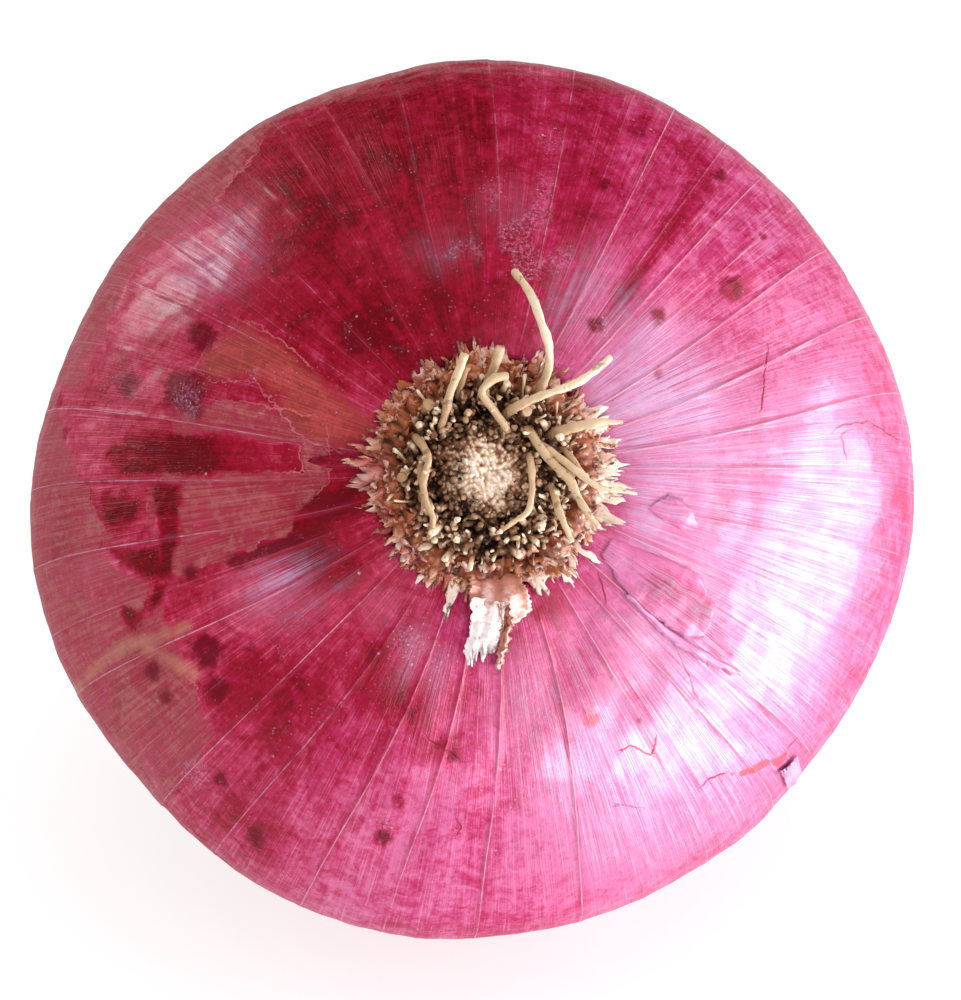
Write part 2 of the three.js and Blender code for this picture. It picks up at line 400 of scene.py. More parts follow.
@dataclass(frozen=True)
class SkinFinish:
    """The glossy outer skin: crimson to magenta, with pale veins, films, stains and dust, and painted sheen,
    highlights and shade.
    """

    pale: Colour = (0.64, 0.14, 0.32)
    magenta: Colour = (0.50, 0.032, 0.14)
    crimson: Colour = (0.35, 0.006, 0.048)
    deep: Colour = (0.23, 0.0015, 0.014)
    stain: Colour = (0.15, 0.001, 0.010)
    # The lilac of the painted sheen and highlight, which the dust lace takes too.
    haze: Colour = (0.64, 0.37, 0.60)
    film: Colour = (0.27, 0.032, 0.046)
    film_pale: Colour = (0.44, 0.105, 0.115)
    film_edge: Colour = (0.60, 0.20, 0.22)
    dry: Colour = (0.25, 0.040, 0.022)
    dry_streak: Colour = (0.48, 0.060, 0.068)
    tan: Colour = (0.52, 0.24, 0.16)
    vein: Colour = (0.86, 0.44, 0.58)
    dim_vein: Colour = (0.46, 0.075, 0.13)
    # The colour of the cracks, and of the painted shade beside the veins.
    crack: Colour = (0.38, 0.014, 0.055)
    split: Colour = (0.84, 0.09, 0.14)
    papery: Colour = (0.42, 0.13, 0.07)
    dust: Colour = (0.86, 0.56, 0.68)
    warmth: Colour = (0.96, 0.92, 0.60)

    def build(self) -> bpy.types.Material:
        """Returns the material."""
        g = Graph("onion_skin")
        flow = g.vector("flow")
        place = g.place()
        fibre = g.noise(g.stretch(flow, (1.0, 1.0, 0.05)), 2.6, 4.0, 0.65)
        hair = g.noise(g.stretch(flow, (1.0, 1.0, 0.02)), 7.0, 2.0, 0.6)
        streak = g.noise(g.stretch(flow, (1.0, 1.0, 0.12)), 0.5, 3.0, 0.6)
        cloud = g.noise(place, 95.0, 4.0, 0.6, 0.5)
        mottle = g.noise(place, 380.0, 5.0, 0.66, 1.0)
        fleck = g.noise(place, 1500.0, 3.0, 0.66, 0.7)
        ragged = g.noise(place, 420.0, 4.0, 0.65)
        wander = g.math("SUBTRACT", ragged, 0.5)

        depth = g.total(
            (g.value("depth"), 1.0), (cloud, 0.46), (streak, 0.46), (fibre, 0.60), (mottle, 1.10),
            (fleck, 0.70), (1.0, -1.66),
        )
        tones = (self.pale, self.magenta, self.crimson, self.deep, self.stain)
        colour = g.ramp(depth, zip((0.0, 0.30, 0.58, 0.88, 1.0), tones))
        colour = g.mix(g.value("warm"), colour, self.warmth, "MULTIPLY")
        lines = g.times(g.step(hair, 0.54, 0.72, 0.24), g.step(depth, 0.95, 0.25))
        colour = g.mix(lines, colour, g.mix(g.step(depth, 0.30, 0.75), self.vein, self.dim_vein))

        film_mm = g.total((g.value("film_mm"), 1.0), (wander, 2.4), (cloud, 1.6), (1.0, -0.80))
        film = g.times(g.step(film_mm, -0.10, 0.40), g.value("film_on"))
        worn = g.total((mottle, 1.8), (fleck, 1.5), (fibre, 2.0), (hair, 1.1), (1.0, -3.20))
        worn = g.mix(g.step(worn, -0.45, 0.45), self.film, self.film_pale)
        patchy = g.total((cloud, 1.2), (mottle, 1.3), (fibre, 1.0), (fleck, 0.5), (1.0, -1.12))
        colour = g.mix(g.times(film, g.step(patchy, 0.0, 1.3)), colour, worn)
        dry_mm = g.total((g.value("dry_mm"), 1.0), (wander, 2.4))
        dry = g.step(dry_mm, -0.1, 1.1)
        browned = g.total((cloud, 1.6), (mottle, 1.9), (fibre, 2.0), (fleck, 1.3), (1.0, -2.65))
        fibred = g.total((hair, 1.2), (fibre, 1.8), (fleck, 1.2), (mottle, 1.2), (1.0, -2.20))
        fibred = g.mix(g.step(fibred, 0.10, 0.90), self.dry, self.dry_streak)
        colour = g.mix(g.times(dry, g.step(browned, -0.2, 0.9)), colour, fibred)
        edge = g.math("MAXIMUM", self.line(g, film_mm, 0.09), self.line(g, dry_mm, 0.09))
        edge = g.times(edge, g.value("film_on"))
        colour = g.mix(g.times(edge, g.step(cloud, 0.46, 0.62, 0.60)), colour, self.film_edge)
        seam = g.total((g.value("tan_mm"), 1.0), (wander, 1.6), (mottle, 1.4), (fibre, 0.8))
        colour = g.mix(g.step(seam, 2.0, 0.8, 0.58), colour, self.tan)

        # Painted sheen and highlight: a lilac reflection laid into the colour in streaks, mostly round the
        # plate and on the lower right, partly the skin's silvery film.
        sheen_streaks = g.total((hair, 1.3), (fibre, 1.5), (mottle, 1.2), (streak, 0.6), (1.0, -1.75))
        painted_sheen_mask = g.times(g.value("haze"), sheen_streaks)
        colour = g.mix(g.step(painted_sheen_mask, 0.0, 0.95, 0.85), colour, self.haze)
        spot = g.total((g.value("spot"), 1.0), (wander, 1.1), (cloud, 0.3), (fleck, 0.35), (1.0, -0.32))
        blot = g.mix(g.step(depth, 0.16, 0.44), self.crimson, self.stain)
        colour = g.mix(g.step(spot, 0.25, 0.80, 0.92), colour, blot)
        papery = g.times(g.value("papery"), g.total((streak, 0.9), (fibre, 0.7), (1.0, 0.1)))
        colour = g.mix(g.step(papery, 0.1, 1.0, 0.9), colour, self.papery)

        vein_mm = g.value("vein_mm")
        varied = g.noise(g.stretch(flow, (1.0, 1.0, 0.35)), 0.6, 3.0, 0.6)
        vein_on = g.times(g.value("vein_on"), g.step(varied, 0.28, 0.62))
        ridge = g.times(g.step(g.total((vein_mm, 1.0), (fleck, 0.03)), 0.095, 0.035), vein_on)
        # A painted shade band just beside each vein's ridge, in the crack colour.
        beside = g.times(g.step(vein_mm, 0.5, 0.16), g.step(vein_mm, 0.05, 0.13))
        painted_vein_shade = g.times(beside, vein_on)
        colour = g.mix(g.times(painted_vein_shade, 0.40), colour, self.crack)
        light = g.mix(g.step(depth, 0.30, 0.75), self.vein, self.dim_vein)
        colour = g.mix(g.times(ridge, 0.70), colour, light)

        torn = g.total((g.value("crack_mm"), 1.0), (wander, 0.8))
        crack = g.times(self.line(g, torn, 0.12), g.value("crack_on"))
        colour = g.mix(g.times(crack, g.step(cloud, 0.35, 0.55)), colour, self.crack)
        split = g.step(g.total((g.value("split_mm"), 1.0), (wander, 1.0)), -0.05, 0.12)
        colour = g.mix(split, colour, self.split)

        grains = self.grains(g, place, 2700.0, 0.52)
        motes = self.grains(g, place, 1500.0, 0.84)
        cover = g.total((g.value("dust"), 1.0), (cloud, 1.2), (mottle, 2.0), (1.0, -1.42))
        cover = g.step(cover, 0.10, 1.30)
        motes = g.times(motes, g.step(cover, 0.0, 0.4))
        dust = g.math("MAXIMUM", g.times(grains, cover), motes)
        powder = g.noise(place, 4200.0, 2.0, 0.6, 0.6)
        fuzz = g.times(g.step(powder, 0.42, 0.70), g.step(cover, 0.30, 1.0, 0.30))
        # The dust lace, in the lilac of the painted sheen.
        colour = g.mix(fuzz, colour, self.haze)
        colour = g.mix(g.times(dust, 0.56), colour, self.dust)

        rough = g.total(
            (cloud, 0.16), (fibre, 0.14), (mottle, 0.16), (dry, 0.16), (film, 0.04), (g.value("papery"), 0.3),
            (1.0, 0.12),
        )
        relief = g.total(
            (fibre, 1.0), (hair, 0.6), (cloud, 1.8), (ragged, 0.9), (mottle, 1.28), (fleck, 0.72),
            (film, 0.5), (dry, 0.5), (ridge, 0.9), (crack, -0.9), (split, -1.5), (dust, 0.6),
        )
        sheen = g.total((fibre, 2.4), (hair, 1.0), (mottle, 2.0), (streak, 1.2), (1.0, -2.80))
        sheen = g.step(sheen, -0.1, 1.1)
        gloss = g.value("gloss")
        coat = g.times(gloss, g.total((sheen, 0.15), (1.0, 0.025)))
        return g.finish(
            colour, rough, g.bump(relief, 0.10), Coat_Weight=coat, Coat_Roughness=0.22, Coat_IOR=1.5,
            Specular_IOR_Level=g.times(gloss, 0.05),
        )

    @staticmethod
    def grains(g: Graph, place: Socket, scale: float, rarity: float) -> Socket:
        """Small round grains scattered over the skin, 1 inside a grain."""
        far, tint = g.cells(place, scale)
        return g.times(g.step(tint, rarity, rarity + 0.06), g.step(far, 0.24, 0.14))

    @staticmethod
    def line(g: Graph, distance: Socket, width: float) -> Socket:
        """A thin line where a signed distance passes zero."""
        return g.step(g.math("ABSOLUTE", distance), width, width * 0.25)


@dataclass(frozen=True)
class TissueFinish:
    """Dry onion tissue, from a dark foot to a pale tip, with fibres and flecks."""

    name: str
    foot: Colour
    body: Colour
    tip: Colour
    blush: Colour
    bleached: Colour = (0.90, 0.78, 0.70)
    rough: float = 0.72
    grain: float = 1400.0

    def build(self) -> bpy.types.Material:
        """Returns the material."""
        g = Graph(self.name)
        place = g.place()
        cloud = g.noise(place, 260.0, 4.0, 0.65)
        grain = g.noise(place, self.grain, 4.0, 0.7)
        along = g.total((g.value("along"), 1.0), (cloud, 0.5), (grain, 0.35), (1.0, -0.42))
        colour = g.ramp(along, zip((0.0, 0.40, 0.78, 1.0), (self.foot, self.body, self.tip, self.bleached)))
        blush = g.total((g.value("tint"), 1.0), (cloud, 0.5), (1.0, -0.25))
        colour = g.mix(g.step(blush, 0.35, 0.95, 0.75), colour, self.blush)
        speck = g.times(g.step(g.noise(place, self.grain * 1.6, 2.0), 0.60, 0.70), 0.55)
        colour = g.mix(speck, colour, self.foot)
        normal = g.bump(grain, 0.16)
        normal = g.bump(cloud, 0.20, normal)
        rough = g.total((grain, 0.2), (1.0, self.rough - 0.1))
        return g.finish(colour, rough, normal, Specular_IOR_Level=0.35)


@dataclass(frozen=True)
class FloorFinish:
    """A plain pale table top that glows a little, so that it comes out near white."""

    colour: Colour = (0.30, 0.30, 0.298)

    def build(self) -> bpy.types.Material:
        """Returns the material."""
        g = Graph("pale_floor")
        cloud = g.noise(g.place(), 3.0, 2.0)
        tone = g.mix(g.times(cloud, 0.05), self.colour, (0.27, 0.27, 0.27))
        return g.finish(tone, 0.6, None, Emission_Color=(1.0, 1.0, 1.0), Emission_Strength=0.76)


# The near-black feet of the crown, plate and stubs are painted shade low in the gaps between them, over the
# tissues' own brown.
CROWN = TissueFinish(
    "dry_scale", foot=(0.055, 0.009, 0.004), body=(0.43, 0.110, 0.036), tip=(0.78, 0.47, 0.36),
    blush=(0.43, 0.070, 0.095), bleached=(0.84, 0.66, 0.55),
)
PLATE = TissueFinish(
    "plate_tissue", foot=(0.024, 0.007, 0.003), body=(0.33, 0.140, 0.068), tip=(0.82, 0.61, 0.43),
    blush=(0.18, 0.06, 0.03),
)
STUBS = TissueFinish(
    "broken_root", foot=(0.035, 0.010, 0.004), body=(0.33, 0.155, 0.072), tip=(0.72, 0.53, 0.35),
    blush=(0.20, 0.07, 0.03), bleached=(0.84, 0.68, 0.50),
)
ROOTS = TissueFinish(
    "dried_root", foot=(0.09, 0.034, 0.012), body=(0.38, 0.20, 0.09), tip=(0.66, 0.46, 0.28),
    blush=(0.28, 0.13, 0.05), bleached=(0.78, 0.62, 0.44), rough=0.7, grain=800.0,
)
FLAP = TissueFinish(
    "flap_tissue", foot=(0.36, 0.11, 0.045), body=(0.55, 0.22, 0.17), tip=(0.92, 0.78, 0.76),
    blush=(0.50, 0.13, 0.15), bleached=(0.96, 0.86, 0.86), rough=0.5,
)
NECK = TissueFinish(
    "neck_paper", foot=(0.30, 0.11, 0.07), body=(0.52, 0.30, 0.16), tip=(0.68, 0.50, 0.30),
    blush=(0.36, 0.07, 0.09), bleached=(0.70, 0.54, 0.36), rough=0.65, grain=500.0,
)


class Workshop:
    """Turns shapes of the onion's own frame into pieces of the scene."""

    @staticmethod
    def spun(rows: int, columns: int) -> bpy.types.Mesh:
        """A tube spun from a straight line, whose rings are then moved to their places.

        Args:
            rows: how many rings.
            columns: how many points in a ring.

        Returns:
            The mesh: each point's height is its row.
        """
        bm = bmesh.new()
        points = [bm.verts.new((1.0, 0.0, float(row))) for row in range(rows)]
        edges = [bm.edges.new(pair) for pair in zip(points, points[1:])]
        bmesh.ops.spin(
            bm, geom=points + edges, cent=(0, 0, 0), axis=(0, 0, 1), angle=2 * math.pi, steps=columns,
            use_merge=True,
        )
        ends = [edge for edge in bm.edges if edge.is_boundary]
        bmesh.ops.holes_fill(bm, edges=ends, sides=0)
        return Workshop.ended(bm, "spun")

    @staticmethod
    def ended(bm: bmesh.types.BMesh, name: str) -> bpy.types.Mesh:
        """Ends work on a bmesh.

        Args:
            bm: the work, which is freed.
            name: the mesh's name.

        Returns:
            It as a mesh.
        """
        mesh = bpy.data.meshes.new(name)
        bm.to_mesh(mesh)
        bm.free()
        return mesh

    @staticmethod
    def cells(mesh: bpy.types.Mesh, columns: int) -> tuple[np.ndarray, np.ndarray]:
        """Finds the places of a spun tube's points.

        Args:
            mesh: the tube.
            columns: how many points its rings have.

        Returns:
            The row and the column of each point.
        """
        at = Workshop.points(mesh)
        turn = np.arctan2(at[:, 1], at[:, 0]) / (2 * math.pi) * columns
        return np.rint(at[:, 2]).astype(int), np.rint(turn).astype(int) % columns

    @staticmethod
    def points(mesh: bpy.types.Mesh) -> np.ndarray:
        """The mesh's points, one row each."""
        at = np.empty(len(mesh.vertices) * 3)
        mesh.vertices.foreach_get("co", at)
        return at.reshape(-1, 3)

    @staticmethod
    def store(mesh: bpy.types.Mesh, **values: np.ndarray) -> None:
        """Keeps values for each point.

        Args:
            mesh: the mesh.
            values: a number or a vector for each point, under its name.
        """
        for name, array in values.items():
            wide = np.ndim(array) == 2
            layer = mesh.attributes.new(name, "FLOAT_VECTOR" if wide else "FLOAT", "POINT")
            layer.data.foreach_set("vector" if wide else "value", np.asarray(array, float).ravel())

    @staticmethod
    def settle(mesh: bpy.types.Mesh, points: np.ndarray) -> None:
        """Moves a mesh's points to the table, and presses flat what is too low.

        Args:
            mesh: the mesh.
            points: where its points belong in the onion's own frame, one row each.
        """
        turned = points @ np.array(TO_WORLD.to_3x3()).T + np.array(TO_WORLD.translation)
        turned[:, 2] = np.maximum(turned[:, 2], 0.0)
        mesh.vertices.foreach_set("co", turned.ravel())
        mesh.update()

    @staticmethod
    def piece(
        name: str, mesh: bpy.types.Mesh, node: str, slot: Slot, material: bpy.types.Material
    ) -> bpy.types.Object:
        """Makes a finished mesh a piece of the scene.

        Args:
            name: the piece's name.
            mesh: its shape, on the table.
            node: the solid that it stands for.
            slot: the material slot of the solid; not used.
            material: its finish.

        Returns:
            The piece.
        """
        bm = bmesh.new()
        bm.from_mesh(mesh)
        bmesh.ops.recalc_face_normals(bm, faces=bm.faces)
        for face in bm.faces:
            face.smooth = True
        bm.to_mesh(mesh)
        bm.free()
        mesh.materials.clear()
        mesh.materials.append(material)
        made = bpy.data.objects.new(name, mesh)
        bpy.context.scene.collection.objects.link(made)
        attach(made, "root")
        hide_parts(node)
        LOG.info("%s: %d points", name, len(mesh.vertices))
        return made

    @staticmethod
    def tubes(runs: Sequence[tuple[np.ndarray, np.ndarray]], sides: int) -> bpy.types.Mesh:
        """Closed tubes along runs of points.

        Args:
            runs: for each tube its points and its radius at each.
            sides: how finely it is rounded: 0 for four sides, 1 for six, 2 for eight.

        Returns:
            One mesh of them all, in the runs' own frame.
        """
        curve = bpy.data.curves.new("runs", "CURVE")
        curve.dimensions = "3D"
        curve.bevel_depth = 1.0
        curve.bevel_resolution = sides
        curve.use_fill_caps = True
        for points, radii in runs:
            spline = curve.splines.new("POLY")
            spline.points.add(len(points) - 1)
            spline.points.foreach_set("co", np.column_stack([points, np.ones(len(points))]).ravel())
            spline.points.foreach_set("radius", np.asarray(radii, float))
        holder = bpy.data.objects.new("runs", curve)
        bpy.context.scene.collection.objects.link(holder)
        bpy.context.view_layer.update()
        mesh = bpy.data.meshes.new_from_object(holder.evaluated_get(bpy.context.evaluated_depsgraph_get()))
        bpy.data.objects.remove(holder)
        bpy.data.curves.remove(curve)
        bm = bmesh.new()
        bm.from_mesh(mesh)
        bmesh.ops.remove_doubles(bm, verts=bm.verts, dist=1e-4)
        bm.to_mesh(mesh)
        bm.free()
        return mesh


@dataclass(frozen=True)
class Vein:
    """A main vein of the skin."""

    near: float
    far: float
    strength: float = 0.7
    start: float = 0.25


VEINS = tuple(
    Vein(*values)
    for values in (
        (0, 0, 0.6), (7, 11.5, 0.9), (17.5, 22.5, 1.0), (29.5, 33, 0.9), (38, 40, 0.35), (46, 46, 0.9),
        (52.5, 52.5, 0.5, 0.5), (60.5, 60.8, 1.0), (66.6, 66.6, 0.2), (74, 75, 0.8),
        (84, 86.5, 0.75, 0.5), (92, 92, 0.15), (101.5, 99.5, 0.7, 0.4), (107, 110, 0.7, 0.6),
        (117, 117, 0.35), (122.5, 124.5, 0.6, 0.65), (131.5, 130.5, 0.55), (138, 137, 0.25),
        (144, 140, 0.45), (147.5, 147.5, 0.6, 0.5), (157, 157.5, 0.35), (168.5, 167, 0.95),
        (180, 177.5, 0.9), (191, 187.5, 0.95), (199, 196.5, 0.4), (208.5, 204.5, 0.95),
        (214.5, 216, 0.25), (223.5, 222.5, 1.0), (237.5, 232, 0.9), (251, 245, 0.9), (262, 256, 0.9),
        (272.5, 268, 1.0), (288, 282, 1.0), (300.5, 300.5, 0.9), (309, 312, 0.8), (317, 320, 0.8),
        (323.5, 324.5, 0.4), (334, 336.5, 0.7), (346, 349.5, 0.8),
    )
)

# Outlines on the skin, each a ring of angles and shares.
FILMS = (
    ((160, 0.37), (172, 0.35), (180, 0.345), (188, 0.39), (196, 0.44), (197.5, 0.5), (197, 0.6),
     (196, 0.71), (190, 0.745), (183, 0.735), (176, 0.7), (171, 0.66), (167, 0.72), (164, 0.64),
     (161.5, 0.55), (160.5, 0.45)),
    ((170, 0.93), (179, 0.87), (187, 0.8), (194.5, 0.74), (202, 0.745), (213, 0.78), (222, 0.8),
     (223, 0.95), (222, 1.15), (200, 1.22), (165, 1.2), (158, 1.05)),
    ((119, 0.93), (127, 0.9), (136, 0.88), (146, 0.93), (157, 0.9), (165, 0.93), (158, 1.12), (118, 1.14)),
    ((75, 0.955), (90, 0.965), (104, 0.94), (119, 0.95), (118, 1.2), (80, 1.25), (60, 1.1)),
)
DRY_PATCH = (
    (146, 0.644), (151, 0.668), (157.8, 0.686), (158.8, 0.628), (156.2, 0.528), (166.8, 0.414),
    (171, 0.322), (162.2, 0.26), (150.8, 0.272), (147.2, 0.398), (145.5, 0.484), (144.8, 0.588),
)
DRY_HOLE = ((157, 0.54), (157.3, 0.488), (161.2, 0.504))
MATT_TEAR = ((320.2, 0.584), (328.2, 0.596), (329.8, 0.658), (326, 0.674), (320.8, 0.676), (319.8, 0.622))
# Crisp gaps in the films, through which the darker skin shows.
WINDOWS = (
    ((174, 0.84), (172.2, 0.826), (171, 0.798), (170.5, 0.758), (170, 0.702), (169, 0.41), (178.2, 0.396),
     (177.2, 0.62), (176.8, 0.782), (176, 0.812)),
    ((178.8, 0.732), (179.2, 0.664), (186.8, 0.672), (192.8, 0.7), (196, 0.718), (194.8, 0.736),
     (189.5, 0.722), (185.2, 0.716)),
    ((180.5, 0.842), (180, 0.818), (181, 0.754), (185.2, 0.762), (185.8, 0.798), (183.8, 0.83)),
    ((187.5, 0.838), (190, 0.724), (195.8, 0.728), (193.5, 0.776), (190.8, 0.814)),
    ((196, 0.754), (196.2, 0.726), (198.8, 0.752), (199.8, 0.78), (197.5, 0.772)),
    ((196.8, 0.832), (199.5, 0.788), (201.5, 0.81), (202, 0.832), (199.2, 0.844)),
)
# Soft changes of colour, each at an angle and a share, with its half widths and its amount.
DEEPER = (
    (190, 0.6, 26, 0.13, 0.12), (333, 0.48, 8, 0.07, 0.1), (0, 0.93, 18, 0.06, 0.12),
    (185, 0.62, 46, 0.42, 0.11), (198, 0.36, 34, 0.1, 0.22), (246, 0.46, 12, 0.1, 0.12),
    (326.5, 0.46, 6, 0.06, 0.1), (325, 0.55, 5, 0.05, 0.1), (10, 0.4, 34, 0.12, 0.08),
    (160, 0.42, 14, 0.12, 0.1), (128, 0.45, 16, 0.2, 0.1), (104, 0.62, 34, 0.5, 0.38),
    (84, 0.4, 18, 0.16, 0.14), (98, 0.9, 26, 0.16, 0.12), (232, 0.66, 16, 0.14, 0.1),
    (187.8, 0.35, 7.6, 0.074, 0.45), (201.8, 0.44, 7.2, 0.06, 0.45), (210.8, 0.37, 7.9, 0.06, 0.22),
    (173.8, 0.69, 3.1, 0.115, 0.12), (51.2, 0.65, 1.8, 0.152, 0.42), (50.8, 0.48, 2.5, 0.069, 0.3),
    (66.8, 0.62, 4.3, 0.092, 0.28), (119, 0.69, 4.6, 0.083, 0.22), (126, 0.4, 8, 0.06, 0.28),
    (107.8, 0.4, 8.5, 0.092, 0.1), (93.5, 0.67, 7.9, 0.138, 0.1), (236.2, 0.47, 2.2, 0.069, 0.25),
    (217.5, 0.69, 3.8, 0.069, 0.22), (227, 0.62, 4.7, 0.092, 0.2), (229.2, 0.75, 4.2, 0.055, 0.14),
    (247.8, 0.52, 6.6, 0.046, 0.3), (258.2, 0.59, 4, 0.028, 0.25), (252, 0.8, 1.3, 0.028, 0.3),
    (326, 0.46, 3.4, 0.037, 0.34), (326.8, 0.55, 2.9, 0.032, 0.4), (322.8, 0.43, 2.4, 0.023, 0.25),
    (297.5, 0.32, 6.7, 0.032, 0.22), (287.8, 0.32, 6.6, 0.023, 0.22), (275.5, 0.2, 11.9, 0.018, 0.2),
    (9.8, 0.25, 5.3, 0.023, 0.2), (10.5, 0.34, 3.9, 0.023, 0.12), (347.2, 0.51, 7.7, 0.023, 0.16),
    (343.2, 0.58, 6.8, 0.018, 0.18), (285.5, 0.61, 1.1, 0.083, 0.22), (302.5, 0.59, 1.1, 0.051, 0.24),
    (312, 0.65, 1.2, 0.055, 0.26), (329, 0.71, 2.6, 0.028, 0.26), (343.5, 0.85, 1.2, 0.018, 0.22),
    (55, 0.9, 1.8, 0.041, 0.22), (34.5, 0.84, 2.2, 0.041, 0.14), (35.8, 0.68, 4.6, 0.051, 0.18),
    (196.2, 0.58, 4.5, 0.037, 0.1), (236.7, 0.91, 3.2, 0.046, 0.16), (231, 0.91, 1.2, 0.041, 0.25),
    (260, 0.28, 7.6, 0.032, 0.2),
)
# Lighter patches: the broad ones on the right and lower right and the one at 135 degrees near the rim are
# painted light where the lamps' highlights fall.
PALER = (
    (20, 0.62, 30, 0.45, 0.16), (344, 0.6, 30, 0.45, 0.22), (304, 0.6, 22, 0.4, 0.14),
    (278, 0.72, 10, 0.2, 0.12), (205, 0.57, 8, 0.1, 0.22), (8, 0.9, 12, 0.14, 0.1),
    (290, 0.92, 40, 0.1, 0.06), (158, 0.93, 30, 0.1, 0.1), (252, 0.8, 16, 0.2, 0.2),
    (285, 0.8, 14, 0.24, 0.16), (135, 0.86, 10, 0.1, 0.16),
)
# Patches of painted lilac sheen and highlight, each at an angle and a share, with its half widths and its
# amount.
PAINTED_SHEEN_PATCHES = (
    (14, 0.37, 22, 0.14, 0.9), (34, 0.42, 18, 0.14, 0.75), (62, 0.44, 8, 0.14, 0.5),
    (246, 0.43, 5, 0.08, 0.4), (255, 0.46, 3, 0.09, 0.4), (230, 0.37, 10, 0.05, 0.3),
    (205, 0.48, 5, 0.1, 0.52), (216, 0.46, 3, 0.1, 0.36), (304, 0.46, 16, 0.14, 0.55),
    (343, 0.47, 18, 0.14, 0.6), (205, 0.55, 8, 0.09, 0.36), (100, 0.5, 10, 0.06, 0.3),
    (84, 0.6, 7, 0.06, 0.3), (277, 0.5, 10, 0.14, 0.45), (12, 0.62, 14, 0.2, 0.4),
    (325, 0.48, 10, 0.16, 0.5), (318, 0.72, 26, 0.16, 0.85), (290, 0.74, 12, 0.14, 0.75),
    (350, 0.72, 16, 0.12, 0.7), (308, 0.9, 22, 0.07, 0.5), (344, 0.36, 14, 0.04, 0.6),
    (138, 0.78, 9, 0.1, 0.6),
)
DUSTY = (
    (81.8, 0.53, 3.5, 0.032, 1.3), (76.8, 0.58, 2.7, 0.032, 1.2), (77.2, 0.47, 3.9, 0.041, 1.2),
    (69.5, 0.5, 3.2, 0.028, 1.1), (76.5, 0.65, 2.4, 0.037, 0.8), (77.2, 0.77, 3.1, 0.037, 0.7),
    (86.5, 0.62, 3, 0.032, 0.7), (94, 0.49, 8, 0.032, 0.5), (162.5, 0.68, 3.1, 0.037, 0.7),
    (165.2, 0.65, 1.8, 0.023, 0.7), (223.2, 0.9, 2.1, 0.028, 1), (252.2, 0.77, 1.2, 0.014, 1.5),
    (241.8, 0.4, 4.6, 0.041, 0.8), (253.8, 0.42, 5.1, 0.041, 0.6), (219.5, 0.54, 5.9, 0.055, 0.4),
    (49, 0.41, 4.5, 0.032, 0.6), (46.8, 0.54, 3.4, 0.046, 0.5), (16.8, 0.22, 8.3, 0.028, 0.5),
    (154.5, 0.55, 1.9, 0.014, 0.8),
)
# Round stains at an angle and a share, with a radius in millimetres and an amount.
STAINS = (
    (209.8, 0.712, 1.29, 1.15), (216.5, 0.742, 1.03, 1), (208, 0.834, 0.78, 0.85),
    (212, 0.838, 0.69, 0.75), (226.8, 0.87, 0.52, 1), (231.3, 0.916, 0.43, 0.8),
    (235.3, 0.916, 0.95, 0.9), (235.3, 0.964, 0.69, 0.6), (195.8, 0.67, 0.69, 0.9),
    (197, 0.578, 0.86, 0.8), (213.8, 0.636, 0.69, 0.55), (236, 0.464, 0.69, 0.8), (227.8, 0.65, 0.6, 0.6),
    (253, 0.714, 0.6, 0.9), (252.2, 0.804, 0.78, 1), (208.8, 0.938, 0.69, 0.5), (214, 0.902, 0.78, 0.55),
    (35.8, 0.684, 1.12, 1), (41, 0.514, 0.78, 0.9), (52, 0.402, 0.78, 0.9), (50.5, 0.888, 0.6, 0.95),
    (39.5, 0.84, 0.39, 0.95), (40.2, 0.936, 0.43, 0.6), (66, 0.698, 0.6, 0.85), (66.8, 0.618, 0.95, 0.7),
    (29, 0.436, 0.52, 0.75), (151.2, 0.702, 1.21, 1.1), (162.8, 0.82, 1.03, 1),
    (162.2, 0.684, 1.81, 1.15), (170.5, 0.928, 0.43, 1), (165.5, 0.646, 0.86, 0.8),
    (134.2, 0.398, 0.86, 0.65), (291.5, 0.578, 0.86, 0.7), (289.8, 0.772, 0.34, 0.8),
    (298.5, 0.97, 0.34, 0.8), (300.5, 0.634, 0.26, 0.7), (261, 0.606, 0.6, 0.9),
    (257.5, 0.588, 0.52, 0.8), (286, 0.604, 0.52, 0.6), (250, 0.538, 0.69, 0.6),
    (249.8, 0.908, 0.52, 0.6), (64, 0.862, 0.86, 0.6), (22.2, 0.51, 0.43, 0.6), (2.5, 0.796, 0.52, 0.5),
    (266, 0.466, 0.69, 0.5),
)
CRACKS = (
    ((22.8, 0.682), (19.5, 0.654), (16.2, 0.636), (12.2, 0.618)),
    ((6.5, 0.774), (7.3, 0.788), (7.5, 0.82), (7.3, 0.86), (6.2, 0.894), (5, 0.94)),
    ((304, 0.824), (305.2, 0.822), (308, 0.834)),
    ((318, 0.914), (319.2, 0.916)),
    ((294.2, 0.666), (296.8, 0.67), (298, 0.694), (299.2, 0.71), (301.2, 0.682)),
    ((251.5, 0.758), (251.5, 0.802), (252.8, 0.828)),
    ((315.2, 0.576), (314, 0.604), (311.8, 0.676)),
    ((289.5, 0.768), (291.5, 0.782), (293.3, 0.794)),
    ((263, 0.742), (264.2, 0.758), (263.5, 0.77)),
    ((6.5, 0.774), (4, 0.786), (2, 0.788)),
    ((315, 0.322), (312.8, 0.354), (311.2, 0.374)),
    ((255.5, 0.578), (259.8, 0.598), (262.8, 0.61)),
)
SPLITS = (
    ((305.2, 0.822), (308, 0.834), (309.5, 0.858), (311.8, 0.872), (314.2, 0.892), (316, 0.91),
     (318, 0.914), (316.8, 0.924), (315, 0.922), (314, 0.904), (312, 0.89), (310, 0.876), (308.5, 0.848),
     (306.5, 0.83)),
)
TAN_SEAMS = (
    ((204, 1), (203.2, 0.94), (202.5, 0.846), (204, 0.784), (204.5, 0.73)),
    ((204.2, 0.816), (208.2, 0.782), (212.2, 0.764)),
)


